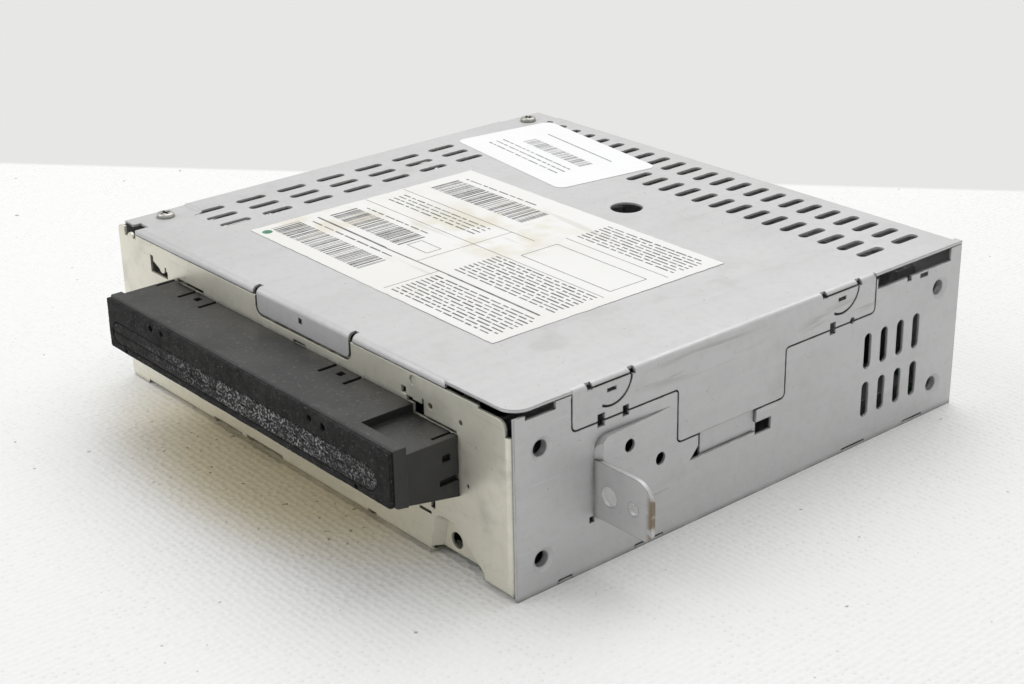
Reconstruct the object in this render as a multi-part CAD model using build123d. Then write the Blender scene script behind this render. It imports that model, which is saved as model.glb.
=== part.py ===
from build123d import *
import math
import os

os.makedirs("parts", exist_ok=True)

# A slot-loading disc player for a dashboard bay, in millimetres.
# X runs across the front, Y from front to back, Z up.
# The origin is the centre of the case's underside.

# Case
case_width = 178.0
case_depth = 163.0
case_height = 49.4
sheet = 0.8
bend_radius = 1.6
seam_gap = 0.3
flange_gap = 0.45
fit_gap = 0.1
wall_top_gap = 0.2

# Top cover
pad_drop = 0.8
pad_slope_angle = 45.0
pad_width = 11.5
front_pad_length = 22.0
rear_pad_length = 17.5
cover_screw_inset = 5.2
cover_screw_front = 13.0
cover_screw_rear = 9.1
lip_height = 2.0
lip_inset_left = 9.8
lip_inset_right = 24.5
tab_left = -15.5
tab_right = 26.0
tab_height = 6.9
tab_corner = 1.8
tab_relief = 1.7
corner_notch_width = 4.6
corner_notch_depth = 4.5
corner_trim = 2.3
cover_corner_radius = 5.0
rear_lip_height = 6.4
rear_lip_inset = 14.0
side_vent_insets = (11.2, 18.3, 25.5)
side_vent_count = 7
side_vent_start_y = -57.2
side_vent_pitch = 14.55
side_vent_length = 10.0
side_vent_width = 2.7
rear_vent_rows_y = (56.3, 71.0)
rear_vent_margin = 11.6
rear_vent_pitch = 6.95
rear_vent_length = 9.8
rear_vent_width = 3.0
view_hole_x = 5.4
view_hole_y = 33.4
view_hole_radius = 4.75
edge_notch_y = (-47.0, -33.0)
edge_notch_depth = 0.6

# Side flange of the cover and the side wall that it drops into
flange_front = -63.4
flange_step_front = -28.6
flange_step_rear = 9.9
flange_rear = 44.8
flange_low = 24.6
flange_high_front = 39.0
flange_high_rear = 38.5
flange_corner = 1.2
snap_centres_y = (-51.0, 31.4)
snap_radius = 6.85
snap_drop = 1.0
snap_groove = 0.6
snap_slit_length = 3.0
snap_slit_height = 1.0
snap_slit_drop = 3.4
snap_hinge = 3.0
snap_top_slit = 0.4
snap_notch_width = 1.7
snap_notch_depth = 1.3
seam_notches = ((-54.4, 2.3, 3.4), (-46.4, 2.0, 2.8), (28.1, 2.2, 3.3))
seam_pin_y = 35.9
seam_pin_radius = 0.9
tongue_front = -20.0
tongue_rear = -0.7
tongue_low = 12.0
tongue_step = 0.9
tongue_slit = 1.2
tongue_tuck = 1.0
window_low = 18.1
window_foot = 3.1
window_block_rear = 5.3
window_block_low = 17.1
window_block_high = 20.6
top_slot_front_y = (-77.8, -68.6)
top_slot_front_depth = 1.1
top_slot_rear_y = (45.8, 76.9)
top_slot_rear_depth = 2.9
top_hook_y = (58.2, 60.0)
top_hook_depth = 1.3
top_window_y = (63.8, 67.2)
top_window_low = 42.9
top_window_high = 44.2
wall_vent_start_y = 43.0
wall_vent_pitch = 6.77
wall_vent_count = 4
wall_vent_rows_z = (13.3, 27.6)
wall_vent_length = 10.3
wall_vent_width = 2.9

# Side mounting holes, funnelled inwards
side_hole_pitch_y = 145.8
side_hole_pitch_z = 29.2
side_hole_centre_z = 23.1
side_hole_radius = 2.1
funnel_radius = 3.2
funnel_depth = 0.8
collar_length = 2.8

# Raised side pad and the ear that is bent out of it
pad_front = -56.6
pad_rear = -31.0
pad_low = 13.0
pad_high = 35.2
pad_proud = 2.0
pad_front_slope = 1.0
pad_corner = 3.5
pad_holes = ((-46.2, 30.0), (-34.9, 22.3))
pad_hole_radius = 1.7
ear_thickness = 1.3
ear_reach = 19.4
ear_low = 14.4
ear_high = 29.5
ear_round_top = 5.4
ear_round_low = 2.6
ear_hole_inset = 5.2
ear_hole_z = 21.4
ear_hole_radius = 2.65
ear_slot_inset = 13.4
ear_slot_radius = 1.8
ear_relief = 1.6

# Rear panel
rear_flange = 3.9

# Front plate
front_flange_depth = 8.0
front_bend_radius = 2.0
front_side_gap = 0.15
front_top_gap = 0.2
front_shoulder_inset = 1.9
front_shoulder_radius = 2.4
front_step_inset = 12.4
front_step_drop = 0.8
wing_drop = 1.1
wing_round = 1.6
wing_notch_insets = (3.6, 9.8)
wing_notch_depth = 2.6
wing_hook_radius = 1.5
front_flange_top = 42.4
funnel_relief = 0.5
pocket_gap = 0.8
pocket_floor_gap = 0.1
hook_hole_x = (-71.5, -62.4)
hook_hole_z = (38.2, 43.4)
hook_bar = 1.6
hook_floor = 2.2
hook_tongue_x = (-66.7, -63.7)
hook_tongue_drop = 1.0
hook_slit_wide = 0.7
hook_slit_high = 3.3
edge_notches = ((0.8, 6.2, 0.7), (-56.8, -43.2, 1.1), (49.4, 51.8, 1.4))
recess_notches = ((51.8, 56.1, 3.4), (56.1, 68.4, 0.8))
lug_slit_width = 0.6
lug_slit_high = 2.4
square_hole_x = 48.3
square_hole_z = 41.7
square_hole_size = 1.8
dimple_x = 52.0
dimple_z = 45.3
dimple_radius = 1.2
small_holes = ((58.6, 40.7, 0.8), (70.0, 40.4, 0.7), (72.1, 24.6, 0.5))
tab_hole_x = 4.7
tab_hole_z = 46.0
tab_hole_size = 1.5
boss_left = 56.2
boss_lean = 3.0
boss_right = 77.4
boss_shoulder = 3.2
boss_top = 12.3
boss_flat = 65.5
boss_round = 3.0
boss_depth = 2.8
boss_taper = 30.0
boss_hole_x = 63.6
boss_hole_z = 5.3
boss_hole_radius = 2.2
boss_pin_x = 69.7
boss_pin_radius = 0.8
boss_cut_left = 56.8
boss_cut_height = 2.0
bottom_cuts = ((-43.5, -29.0, 2.0), (-26.5, -8.7, 2.3), (30.5, 34.0, 2.0))
clip_slot = (52.6, 57.4, 11.1, 11.9)
clip_bar = (57.4, 59.0, 13.2, 15.8)

# Bottom cover
lug_spans_y = ((-68.2, -64.0), (-43.0, -33.5), (34.4, 43.6), (60.4, 68.5))
lug_height = 1.2
bottom_flange_height = 3.8
standoff_radius = 2.6
standoff_bore = 1.45

# Slot bezel and its dust seal
slot_drop = 19.9
slot_height = 6.4
slot_left = -59.1
slot_right = 63.8
bezel_reach = 19.2
bezel_under_slot = 8.9
bezel_over_slot = 9.7
chin_under_slot = 5.3
bezel_left = -61.2
bezel_right = 69.4
bezel_body_left = -59.6
bezel_body_right = 68.8
bezel_lip = 3.7
bezel_edge = 0.8
recess_left = 51.8
recess_drop = 2.4
throat_inset = 0.5
throat_tail = 1.8
tail_wall = 0.8
tail_high_wall = 1.0
snap_centres_x = (-41.5, 26.0)
snap_slit_half_pitch = 5.3
snap_slit_run = 6.0
snap_slit_wide = 1.4
snap_hole_back = 2.8
snap_hole_size = 2.2
snap_depth = 1.5
end_slit_wide = 1.0
end_slit_x = (-58.4, 66.5)
side_hole_y = -85.1
side_hole_over_slot = 2.5
side_hole_high = 1.8
side_hole_long = 2.4
side_slot_under_slot = 3.6
side_slot_high = 1.7
side_slot_long = 5.8
gasket_thickness = 1.3
gasket_inset = 0.1
gasket_holes = ((-37.5, 7.2, 0.9), (-31.9, 7.4, 0.7), (37.3, 7.2, 0.8), (42.7, 6.7, 0.9),
                (55.5, -4.2, 0.6), (-52.4, -4.2, 0.6))
felt_thickness = 0.9
felt_gap = 0.3
felt_slits_x = (-38.5, -17.7, 21.8, 42.7)
felt_slit_width = 0.5
felt_slit_height = 2.4
felt_back = 0.15

# Labels on the cover
label_thickness = 0.12
rating_corner = (-54.0, -58.2)
rating_size = (109.5, 80.5)
rating_turn = -0.7
stock_centre = (-48.2, 52.8)
stock_size = (60.5, 36.5)
stock_turn = -8.0
stock_corner = 3.0

# Disc and the drive that carries it
disc_radius = 60.0
disc_thickness = 1.2
disc_y = -10.0
disc_drop = 3.4
metal = 1.0

# Rails and suspension
rail_wall_gap = 8.2
rail_flange = 27.0
rail_foot = 4.0
rail_front = -76.0
rail_rear = 71.0
rail_top = 8.2
rail_access_radius = 3.2
damper_x = 58.0
damper_y = (-50.0, 55.0)
damper_radius = 3.0
damper_gap = 3.3
damper_floor = 0.8
damper_play = 0.3
deck_pin_radius = 1.2
deck_pin_gap = 2.3
spring_radius = 4.5
spring_wire = 0.3
spring_turns = 4
spring_end_gap = 0.05

# Floating deck
deck_room = 4.5
deck_front = -66.0
deck_rear = 70.0
deck_under_slot = 11.8
deck_wall_rise = 7.8
deck_front_wall_over_slot = 6.0
deck_wall_front_rear = -30.0
gear_wall_front = -73.0
gear_wall_rear = -40.0
gear_wall_over_slot = 2.0
gear_wall_cover_gap = 3.6
sled_window_half = 12.0

# Upper disc guide and the disc sensing levers
guide_front = -78.0
guide_rear = -44.0
guide_clearance = 0.6
guide_thickness = 1.6
lever_inset = 16.0
lever_y = -53.0
lever_reach = 17.5
lever_rest_angle = -70.5
lever_travel = 56.0
lever_width = 5.0
lever_pin_radius = 1.0
lever_bore = 1.55
lever_stud = 1.5
lever_gap = 0.3
lever_slot_gap = 0.3

# Loading roller, its arm and gears
roller_radius = 4.2
roller_waist = 3.0
roller_y = -72.0
roller_shaft = 1.5
roller_inner = 4.0
roller_inset = 2.0
arm_pivot_back = 12.0
arm_pivot_drop = 4.0
arm_side_gap = 0.6
arm_round = 2.4
pivot_radius = 1.2
running_gap = 0.05
gear_module = 0.55
wheel_module = 0.5
roller_teeth = 18
idler_teeth = 28
pinion_teeth = 12
wheel_teeth = 30
motor_teeth = 10
gear_width = 2.1
gear_side_gap = 0.4
gear_backlash = 0.14
motor_angle = 30.0
motor_radius = 6.0
motor_flat = 5.0
motor_length = 15.0
motor_shaft = 0.75
stud_radius = 1.0

# Spindle, turntable and clamp
spindle_motor_radius = 11.0
spindle_motor_height = 4.2
spindle_shaft = 1.0
turntable_radius = 14.5
turntable_gap = 0.4
hub_radius = 7.4
hub_height = 1.6
hub_top_radius = 6.2
clamp_pivot_y = 58.0
clamp_lift = 5.5
clamp_plate_high = 5.1
clamp_front_half = 14.0
clamp_rear_half = 28.0
clamp_nose = 14.0
clamp_taper_run = 20.0
clamp_window = (22.0, 9.0)
clamp_gap = 0.3
clamper_radius = 13.0
clamper_neck = 4.8
clamper_hole = 5.4
clamper_flange = 7.5
clamper_recess = 8.0
clamper_recess_deep = 1.6
clamper_pad_inner = 9.0
clamper_pad_high = 0.8
ear_plate_half = 30.0

# Optical sled and its drive
rod_x = 19.0
rod_radius = 1.5
rod_height = 2.6
rod_front = 3.0
sled_front = 5.9
sled_length = 21.3
sled_half = 22.0
sled_low = 0.3
sled_high = 5.1
sled_travel = 34.0
fork_gap = 0.1
lens_y = 14.0
lens_radius = 2.6
lens_cover = (13.0, 12.0, 1.0)
screw_x = 27.0
screw_radius = 1.6
screw_root = 1.2
screw_pitch = 3.0
screw_tip = 1.0
nut_gap = 0.3
nut_half = 3.2
nut_length = 6.0
feed_motor_radius = 5.0
feed_motor_gap = 0.8
feed_motor_length = 10.0
bearing_block = 2.5

# Shift slider on the deck's right wall
slider_front = -62.0
slider_rear = 20.0
slider_lift = 0.3
slider_height = 8.0
slider_gap = 0.4
slider_travel = 10.0
slider_studs_y = (-44.0, 4.0)
slider_stud_radius = 1.4
slider_stud_lift = 4.3
slider_head_radius = 2.4

# Main board and its parts
board_low = 3.2
board_thickness = 1.6
board_edge_gap = 0.7
board_front = -74.0
board_rear = 76.0
board_screw_inset = 10.0
board_screw_y = (-66.0, 62.0)
board_screw_radius = 1.4
board_screw_head = 2.7
board_screw_head_high = 1.4
chips = ((-30.0, -30.0, 20.0, 20.0, 2.2), (14.0, -26.0, 14.0, 14.0, 1.6), (36.0, 16.0, 24.0, 10.0, 2.4),
         (-14.0, 26.0, 12.0, 18.0, 2.0), (44.0, -46.0, 8.0, 12.0, 1.8), (4.0, 4.0, 16.0, 12.0, 2.0))
cans = ((24.0, 46.0), (34.0, 46.0), (44.0, 46.0), (-44.0, 12.0), (-44.0, 22.0), (20.0, -56.0), (-6.0, -58.0))
can_radius = 4.0
can_height = 7.2
sink_left = 36.0
sink_right = 74.0
sink_depth = 3.2
sink_top = 38.0
sink_fin = 4.2
sink_fins = 6
amp_left = 45.0
amp_right = 65.0
amp_top = 24.0
amp_depth = 3.4
main_socket = (-70.0, -30.0, 22.0)
aux_socket = (-20.0, 0.0, 15.0)
socket_front = 72.2
socket_proud = 1.2
socket_wall = 1.5
socket_depth = 7.2
socket_lift = 2.6
contact_length = 2.4
contact_size = 0.9
contact_pitch = 4.0
ribbon_x = (-42.0, -26.0)
ribbon_thickness = 0.3
ribbon_y = 40.0
ribbon_end = 56.0
ribbon_bend = 3.0
ribbon_socket_high = 3.0
ribbon_socket_half = 2.0

# Screws of the cover
cover_screw_head = 2.6
cover_screw_head_high = 1.3
cover_screw_shank = 1.45
cover_screw_length = 5.0
cover_tab_length = 10.0
cover_tab_reach = 9.0

# Derived places
half_w = case_width / 2
half_d = case_depth / 2
plate_y = -half_d
bezel_front = plate_y - bezel_reach
mech_x = (slot_left + slot_right) / 2
slot_z = case_height - slot_drop
slot_low = slot_z - slot_height / 2
slot_high = slot_z + slot_height / 2
throat_left = slot_left + throat_inset
throat_right = slot_right - throat_inset
inner_x = half_w - sheet
inner_y = half_d - sheet
lip_left = -half_w + lip_inset_left
lip_right = half_w - lip_inset_right
rear_lip_half = half_w - rear_lip_inset
rear_vent_count = int((case_width - 2 * rear_vent_margin) / rear_vent_pitch) + 1
bezel_low = slot_z - bezel_under_slot
bezel_high = slot_z + bezel_over_slot
bezel_chin = slot_z - chin_under_slot
cover_under = case_height - sheet
bend_line = case_height - bend_radius
wall_top = bend_line - wall_top_gap
lip_bottom = case_height - lip_height
front_top = lip_bottom - front_top_gap
cover_screw_x = -half_w + cover_screw_inset
cover_screw_y = (-half_d + cover_screw_front, half_d - cover_screw_rear)
pad_floor = case_height - pad_drop
deck_half = disc_radius + deck_room
deck_inner = deck_half - metal
deck_low = slot_z - deck_under_slot
deck_top = deck_low + metal
deck_wall_low = deck_top + deck_wall_rise
deck_wall_front = slot_z + deck_front_wall_over_slot
gear_wall_low = slot_z + gear_wall_over_slot
gear_wall_top = cover_under - gear_wall_cover_gap
arm_half = deck_inner - arm_side_gap
roller_outer = disc_radius - roller_inset
lever_x = disc_radius - lever_inset
rail_half = inner_x - rail_wall_gap
damper_height = deck_low - rail_top - damper_gap
deck_pin_length = deck_low - rail_top - damper_floor - deck_pin_gap
slider_low = deck_top + slider_lift
slider_high = slider_low + slider_height
slider_stud_z = deck_top + slider_stud_lift
board_half = rail_half - sheet - board_edge_gap
board_screw_x = rail_half - board_screw_inset
turntable_top = slot_z - disc_drop
rod_z = deck_top + rod_height
feed_motor_front = sled_front + sled_length + sled_travel + feed_motor_gap
roller_z = slot_z - disc_thickness / 2 - roller_radius
arm_y = roller_y + arm_pivot_back
arm_z = roller_z - arm_pivot_drop
guide_low = slot_z + disc_thickness / 2 + guide_clearance
guide_top = guide_low + guide_thickness
board_top = board_low + board_thickness
disc_top = turntable_top + disc_thickness


def block(x0, x1, y0, y1, z0, z1):
    """A box from its lowest to its highest corner."""
    return Pos((x0 + x1) / 2, (y0 + y1) / 2, (z0 + z1) / 2) * Box(x1 - x0, y1 - y0, z1 - z0)


def rod_along_x(x0, x1, y, z, r):
    """A round bar along X."""
    return Pos((x0 + x1) / 2, y, z) * Rot(0, 90, 0) * Cylinder(r, x1 - x0)


def rod_along_y(x, y0, y1, z, r):
    """A round bar along Y."""
    return Pos(x, (y0 + y1) / 2, z) * Rot(90, 0, 0) * Cylinder(r, y1 - y0)


def rod_along_z(x, y, z0, z1, r):
    """A round bar along Z."""
    return Pos(x, y, (z0 + z1) / 2) * Cylinder(r, z1 - z0)


def outline(*points):
    """A closed flat shape through points."""
    return make_face(Polyline(*points, close=True))


def rectangle(u0, u1, v0, v1, r=0.0):
    """A flat rectangle, with rounded corners where r is given."""
    at = Pos((u0 + u1) / 2, (v0 + v1) / 2)
    if r > 0:
        return at * RectangleRounded(u1 - u0, v1 - v0, r)
    return at * Rectangle(u1 - u0, v1 - v0)


def along_x(shape, x0, x1):
    """A flat shape in Y and Z, thickened from x0 to x1."""
    return extrude(Plane.YZ.offset(x0) * shape, x1 - x0)


def along_y(shape, y0, y1):
    """A flat shape in X and Z, thickened from y0 to y1."""
    return extrude(Plane.XZ.offset(-y1) * shape, y1 - y0)


def along_z(shape, z0, z1):
    """A flat shape in X and Y, thickened from z0 to z1."""
    return extrude(Plane.XY.offset(z0) * shape, z1 - z0)


def both_sides(part):
    """A part and its mirror image across the middle plane."""
    return part + mirror(part, about=Plane.YZ)


def edges_at(part, axis, value):
    """The edges of a part that lie at one value along an axis."""
    near = 0.001
    return part.edges().filter_by_position(axis, value - near, value + near)


def save(name, part):
    """Write one piece, or one group of like pieces, to its own file."""
    export_step(part, "parts/" + name + ".step")


# Top cover: a pressed lid with side flanges, a front lip and two lowered screw pads
def pressed_pad(y0, y1, lower):
    """The hollow over one lowered corner pad, with sloping sides."""
    z0 = pad_floor - lower
    run = 3.0
    side = rectangle(-half_w - run, -half_w + pad_width, y0, y1)
    return extrude(Plane.XY.offset(z0) * side, run, taper=-pad_slope_angle)


def pad_hollows(lower):
    far = 4.0
    front = pressed_pad(-half_d - far, -half_d + front_pad_length, lower)
    rear = pressed_pad(half_d - rear_pad_length, half_d + far, lower)
    return [front, rear]


def cover_envelope(inset):
    """The lid's outer surface, or its inner one when inset by the sheet."""
    base = -inset * 2
    body = block(-half_w + inset, half_w - inset, -half_d + inset, half_d - inset, base, case_height - inset)
    body = fillet(edges_at(body, Axis.Z, case_height - inset), bend_radius - inset)
    return body - pad_hollows(inset)


def flange_outline():
    """The stepped lower edge of the cover's side flange, in Y and Z."""
    above = case_height + 5.0
    shape = outline((flange_front, above), (flange_front, flange_high_front),
                    (flange_step_front, flange_high_front), (flange_step_front, flange_low),
                    (flange_step_rear, flange_low), (flange_step_rear, flange_high_rear),
                    (flange_rear, flange_high_rear), (flange_rear, above))
    return fillet(shape.vertices(), flange_corner)


def seam_cuts():
    """The small square holes that straddle the seam, and its pin hole."""
    cuts = []
    for y, width, height in seam_notches:
        seam = flange_high_front if y < 0 else flange_high_rear
        cuts.append(rectangle(y - width / 2, y + width / 2, seam - height / 2, seam + height / 2))
    cuts.append(Pos(seam_pin_y, flange_high_rear) * Circle(seam_pin_radius))
    return cuts


def tab_outline():
    shape = rectangle(tab_left, tab_right, case_height - tab_height, case_height + tab_corner, tab_corner)
    return shape


def snap_cuts():
    """The slits of the two D-shaped snaps, which stay joined at their front side."""
    cuts = []
    z = case_height - snap_drop
    for y in snap_centres_y:
        ring = Circle(snap_radius) - Circle(snap_radius - snap_groove)
        free = rectangle(-snap_hinge, snap_radius, -snap_radius, 0)
        cuts.append(Pos(y, z) * (ring & free))
        cuts.append(rectangle(y - snap_radius, y + snap_radius, z - snap_top_slit, z))
        cuts.append(Pos(y, case_height - snap_slit_drop) * Rectangle(snap_slit_length, snap_slit_height))
    return cuts


def snap_notches():
    """Square notches in the bend at both ends of each snap."""
    half = snap_notch_width / 2
    reach = 1.0
    ends = [y + side * snap_radius for y in snap_centres_y for side in (-1, 1)]
    return [block(half_w - snap_notch_depth, half_w + reach, y - half, y + half, bend_line,
                  case_height + reach) for y in ends]


def plain_edges(cover):
    """The lid with plain cut edges where the right side and the front have no flange or lip."""
    reach = 2.0
    side = half_w - bend_radius
    front = -half_d + bend_radius
    cover -= block(side, half_w + reach, -half_d - reach, flange_front, 0, cover_under)
    cover -= block(side, half_w + reach, flange_rear, half_d + reach, 0, cover_under)
    cover -= block(lip_right, half_w + reach, -half_d - reach, front, 0, cover_under)
    cover += block(side - sheet, half_w, -half_d, flange_front, cover_under, case_height)
    cover += block(side - sheet, half_w, flange_rear, half_d, cover_under, case_height)
    return cover + block(lip_right, half_w, -half_d, front + sheet, cover_under, case_height)


def vent_slots():
    slots = []
    for inset in side_vent_insets:
        x = -half_w + inset
        for i in range(side_vent_count):
            y = side_vent_start_y + i * side_vent_pitch
            slots.append(Pos(x, y) * SlotOverall(side_vent_length, side_vent_width, rotation=90))
    for y in rear_vent_rows_y:
        for i in range(rear_vent_count):
            x = half_w - rear_vent_margin - i * rear_vent_pitch
            slots.append(Pos(x, y) * SlotOverall(rear_vent_length, rear_vent_width, rotation=90))
    slots.append(Pos(view_hole_x, view_hole_y) * Circle(view_hole_radius))
    for y in cover_screw_y:
        slots.append(Pos(cover_screw_x, y) * Circle(cover_screw_shank + fit_gap))
    return slots


def make_top_cover():
    shell = cover_envelope(0) - cover_envelope(sheet)
    reach = 2.0
    deep = sheet + tongue_step + reach
    far = 10.0
    zone = block(-half_w - reach, half_w + reach, -half_d - reach, half_d + reach, bend_line,
                 case_height + reach)
    flange = along_x(flange_outline(), half_w - sheet, half_w + reach)
    zone += both_sides(flange)
    zone += block(lip_left, lip_right, -half_d - reach, -half_d + sheet, lip_bottom, bend_line)
    zone += along_y(tab_outline(), -half_d - reach, -half_d + sheet)
    zone += block(-rear_lip_half, rear_lip_half, half_d - sheet, half_d + reach,
                  case_height - rear_lip_height, bend_line)
    cover = plain_edges(shell & zone)
    # The tongue steps inwards and tucks behind the side wall.
    tongue_x = half_w - sheet - tongue_step
    step_z = flange_low + sheet
    tongue = block(tongue_x, tongue_x + sheet, tongue_front, tongue_rear + tongue_tuck, tongue_low, step_z)
    tongue += block(tongue_x, half_w, tongue_front, tongue_rear, flange_low, step_z)
    cover += both_sides(tongue)
    side_cut = along_x(Sketch() + seam_cuts() + snap_cuts(), half_w - deep, half_w + reach)
    notches = Part() + snap_notches()
    cuts = [side_cut, mirror(side_cut, about=Plane.YZ), notches, mirror(notches, about=Plane.YZ)]
    cuts.append(along_z(Sketch() + vent_slots(), cover_under - far, case_height + reach))
    # Relief slits beside the front tab, and the tab's square hole.
    for x in (tab_left - tab_relief / 2, tab_right + tab_relief / 2):
        cuts.append(block(x - tab_relief / 2, x + tab_relief / 2, -half_d - reach,
                          -half_d + bend_radius + sheet, 0, case_height + reach))
    hole = tab_hole_size / 2
    cuts.append(block(tab_hole_x - hole, tab_hole_x + hole, -half_d - reach, -half_d + reach,
                      tab_hole_z - hole, tab_hole_z + hole))
    # The front corners have no lip: the left one is trimmed back, the right one is rounded.
    notch_x = lip_left - corner_notch_width
    cuts.append(block(notch_x, lip_left, -half_d - reach, -half_d + corner_notch_depth, 0,
                      case_height + reach))
    cuts.append(block(-half_w - reach, lip_left, -half_d - reach, -half_d + corner_trim, 0,
                      case_height + reach))
    corner = rectangle(half_w - cover_corner_radius, half_w + reach, -half_d - reach,
                       -half_d + cover_corner_radius)
    corner -= Pos(half_w - cover_corner_radius, -half_d + cover_corner_radius) * Circle(cover_corner_radius)
    cuts.append(along_z(corner, bend_line - reach, case_height + reach))
    notch_low, notch_high = edge_notch_y
    cuts.append(block(-half_w - reach, -half_w + edge_notch_depth, notch_low, notch_high,
                      bend_line, case_height + reach))
    return cover - cuts


# Side frames and rear panel
def funnel():
    """One pressed mounting hole, along +X from the wall's inner side outwards."""
    inner = half_w - collar_length
    boss = Pos(half_w - sheet - funnel_depth / 2, 0, 0) * Rot(0, 90, 0) * Cone(
        side_hole_radius + sheet, funnel_radius + sheet, funnel_depth)
    boss += rod_along_x(inner, half_w - funnel_depth, 0, 0, side_hole_radius + sheet)
    mouth = Pos(half_w - funnel_depth / 2, 0, 0) * Rot(0, 90, 0) * Cone(
        side_hole_radius, funnel_radius, funnel_depth)
    bore = rod_along_x(inner - sheet, half_w, 0, 0, side_hole_radius)
    return boss, mouth + bore


def side_hole_places():
    places = []
    for y in (-side_hole_pitch_y / 2, side_hole_pitch_y / 2):
        for z in (-side_hole_pitch_z / 2, side_hole_pitch_z / 2):
            places.append((y, side_hole_centre_z + z))
    return places


def pad_wedge(margin, shift):
    """The tapering side pad, smaller by margin and moved inwards by shift."""
    plan = outline((half_w - sheet, pad_front + margin), (half_w, pad_front + margin),
                   (half_w + pad_proud, pad_front + pad_front_slope + margin), (half_w, pad_rear),
                   (half_w - sheet, pad_rear))
    solid = along_z(plan, pad_low + margin, pad_high - margin)
    side = rectangle(pad_front + margin, pad_rear + pad_corner, pad_low + margin, pad_high - margin,
                     pad_corner)
    return Pos(-shift, 0, 0) * (solid & along_x(side, half_w - sheet, half_w + pad_proud))


def make_ear():
    """The flat ear that is bent square out of the pad's front edge."""
    tip = half_w + ear_reach
    root = half_w - sheet
    shape = outline((root, ear_low), (tip, ear_low), (tip, ear_high), (root, ear_high))
    outer = shape.vertices().sort_by(Axis.X)[-2:]
    low = outer.sort_by(Axis.Y)[0]
    shape = fillet(low, ear_round_low)
    high = shape.vertices().sort_by(Axis.Y)[-2:].sort_by(Axis.X)[-1]
    shape = fillet(high, ear_round_top)
    shape -= Pos(half_w + ear_hole_inset, ear_hole_z) * Circle(ear_hole_radius)
    shape -= Pos(half_w + ear_slot_inset, ear_hole_z) * Circle(ear_slot_radius)
    return along_y(shape, pad_front - fit_gap, pad_front - fit_gap + ear_thickness)


def wall_openings():
    """Everything cut through a side wall, in Y and Z."""
    above = case_height + 1.0
    cuts = [offset(flange_outline(), flange_gap)]
    cuts += seam_cuts()
    left = tongue_front - tongue_slit
    cuts.append(rectangle(left, tongue_rear + seam_gap, window_low, flange_low))
    cuts.append(outline((left - window_foot, window_low - fit_gap), (left, window_low - fit_gap),
                        (left, flange_low),
                        (left - seam_gap, flange_low), (left - seam_gap, window_low + window_foot)))
    cuts.append(rectangle(tongue_rear, window_block_rear, window_block_low, window_block_high))
    front0, front1 = top_slot_front_y
    cuts.append(rectangle(front0, front1, wall_top - top_slot_front_depth, above))
    rear0, rear1 = top_slot_rear_y
    cuts.append(rectangle(rear0, rear1, wall_top - top_slot_rear_depth, above))
    hook0, hook1 = top_hook_y
    cuts.append(rectangle(hook0, hook1, wall_top - top_slot_rear_depth - top_hook_depth, above))
    window0, window1 = top_window_y
    cuts.append(rectangle(window0, window1, top_window_low, top_window_high))
    for y0, y1 in lug_spans_y:
        cuts.append(rectangle(y0 - fit_gap, y1 + fit_gap, -sheet, lug_height))
    for z in wall_vent_rows_z:
        for i in range(wall_vent_count):
            y = wall_vent_start_y + i * wall_vent_pitch
            cuts.append(Pos(y, z) * SlotOverall(wall_vent_length, wall_vent_width, rotation=90))
    return cuts


def socket_window(socket):
    left, right, top = socket
    return rectangle(left - seam_gap, right + seam_gap, board_top - seam_gap, top + seam_gap)


def make_side_frame():
    """The right wall with its pad, ear and mounting holes."""
    front = plate_y + front_side_gap * 2
    wall = block(inner_x, half_w, front, half_d, 0, wall_top)
    reach = 4.0
    wall -= along_x(Sketch() + wall_openings(), half_w - reach, half_w + reach)
    wall += pad_wedge(0, 0) + make_ear()
    relief = along_x(rectangle(pad_front - ear_relief, pad_front, ear_low - ear_relief, ear_low),
                     half_w - reach, half_w + fit_gap)
    cuts = [pad_wedge(sheet, sheet), relief]
    for y, z in pad_holes:
        cuts.append(rod_along_x(half_w - reach, half_w + reach, y, z, pad_hole_radius))
    for y, z in side_hole_places():
        boss, bore = funnel()
        wall += Pos(0, y, z) * boss
        cuts.append(Pos(0, y, z) * bore)
    return wall - cuts


def wall_rims():
    """The right wall's top where it rises to the lid's plain edge."""
    spans = ((top_slot_front_y[1], flange_front - seam_gap), (top_slot_rear_y[1], half_d))
    return [block(inner_x, half_w, y0, y1, wall_top, cover_under - wall_top_gap) for y0, y1 in spans]


def wall_front_strip():
    """What the front plate's wing takes from the left wall's front edge."""
    return block(-half_w - sheet, -inner_x + fit_gap / 2, -half_d - sheet, -half_d + sheet + fit_gap, -sheet,
                 case_height)


def cover_screw_tabs():
    """Two tabs turned in from the left wall, which take the cover's screws."""
    top = pad_floor - sheet
    tabs = []
    for y in cover_screw_y:
        tab = block(-half_w + sheet / 2, -inner_x + cover_tab_reach, y - cover_tab_length / 2,
                    y + cover_tab_length / 2, top - sheet, top)
        tabs.append(tab - rod_along_z(cover_screw_x, y, top - 2 * sheet, top + sheet,
                                      cover_screw_shank + fit_gap))
    return tabs


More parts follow.
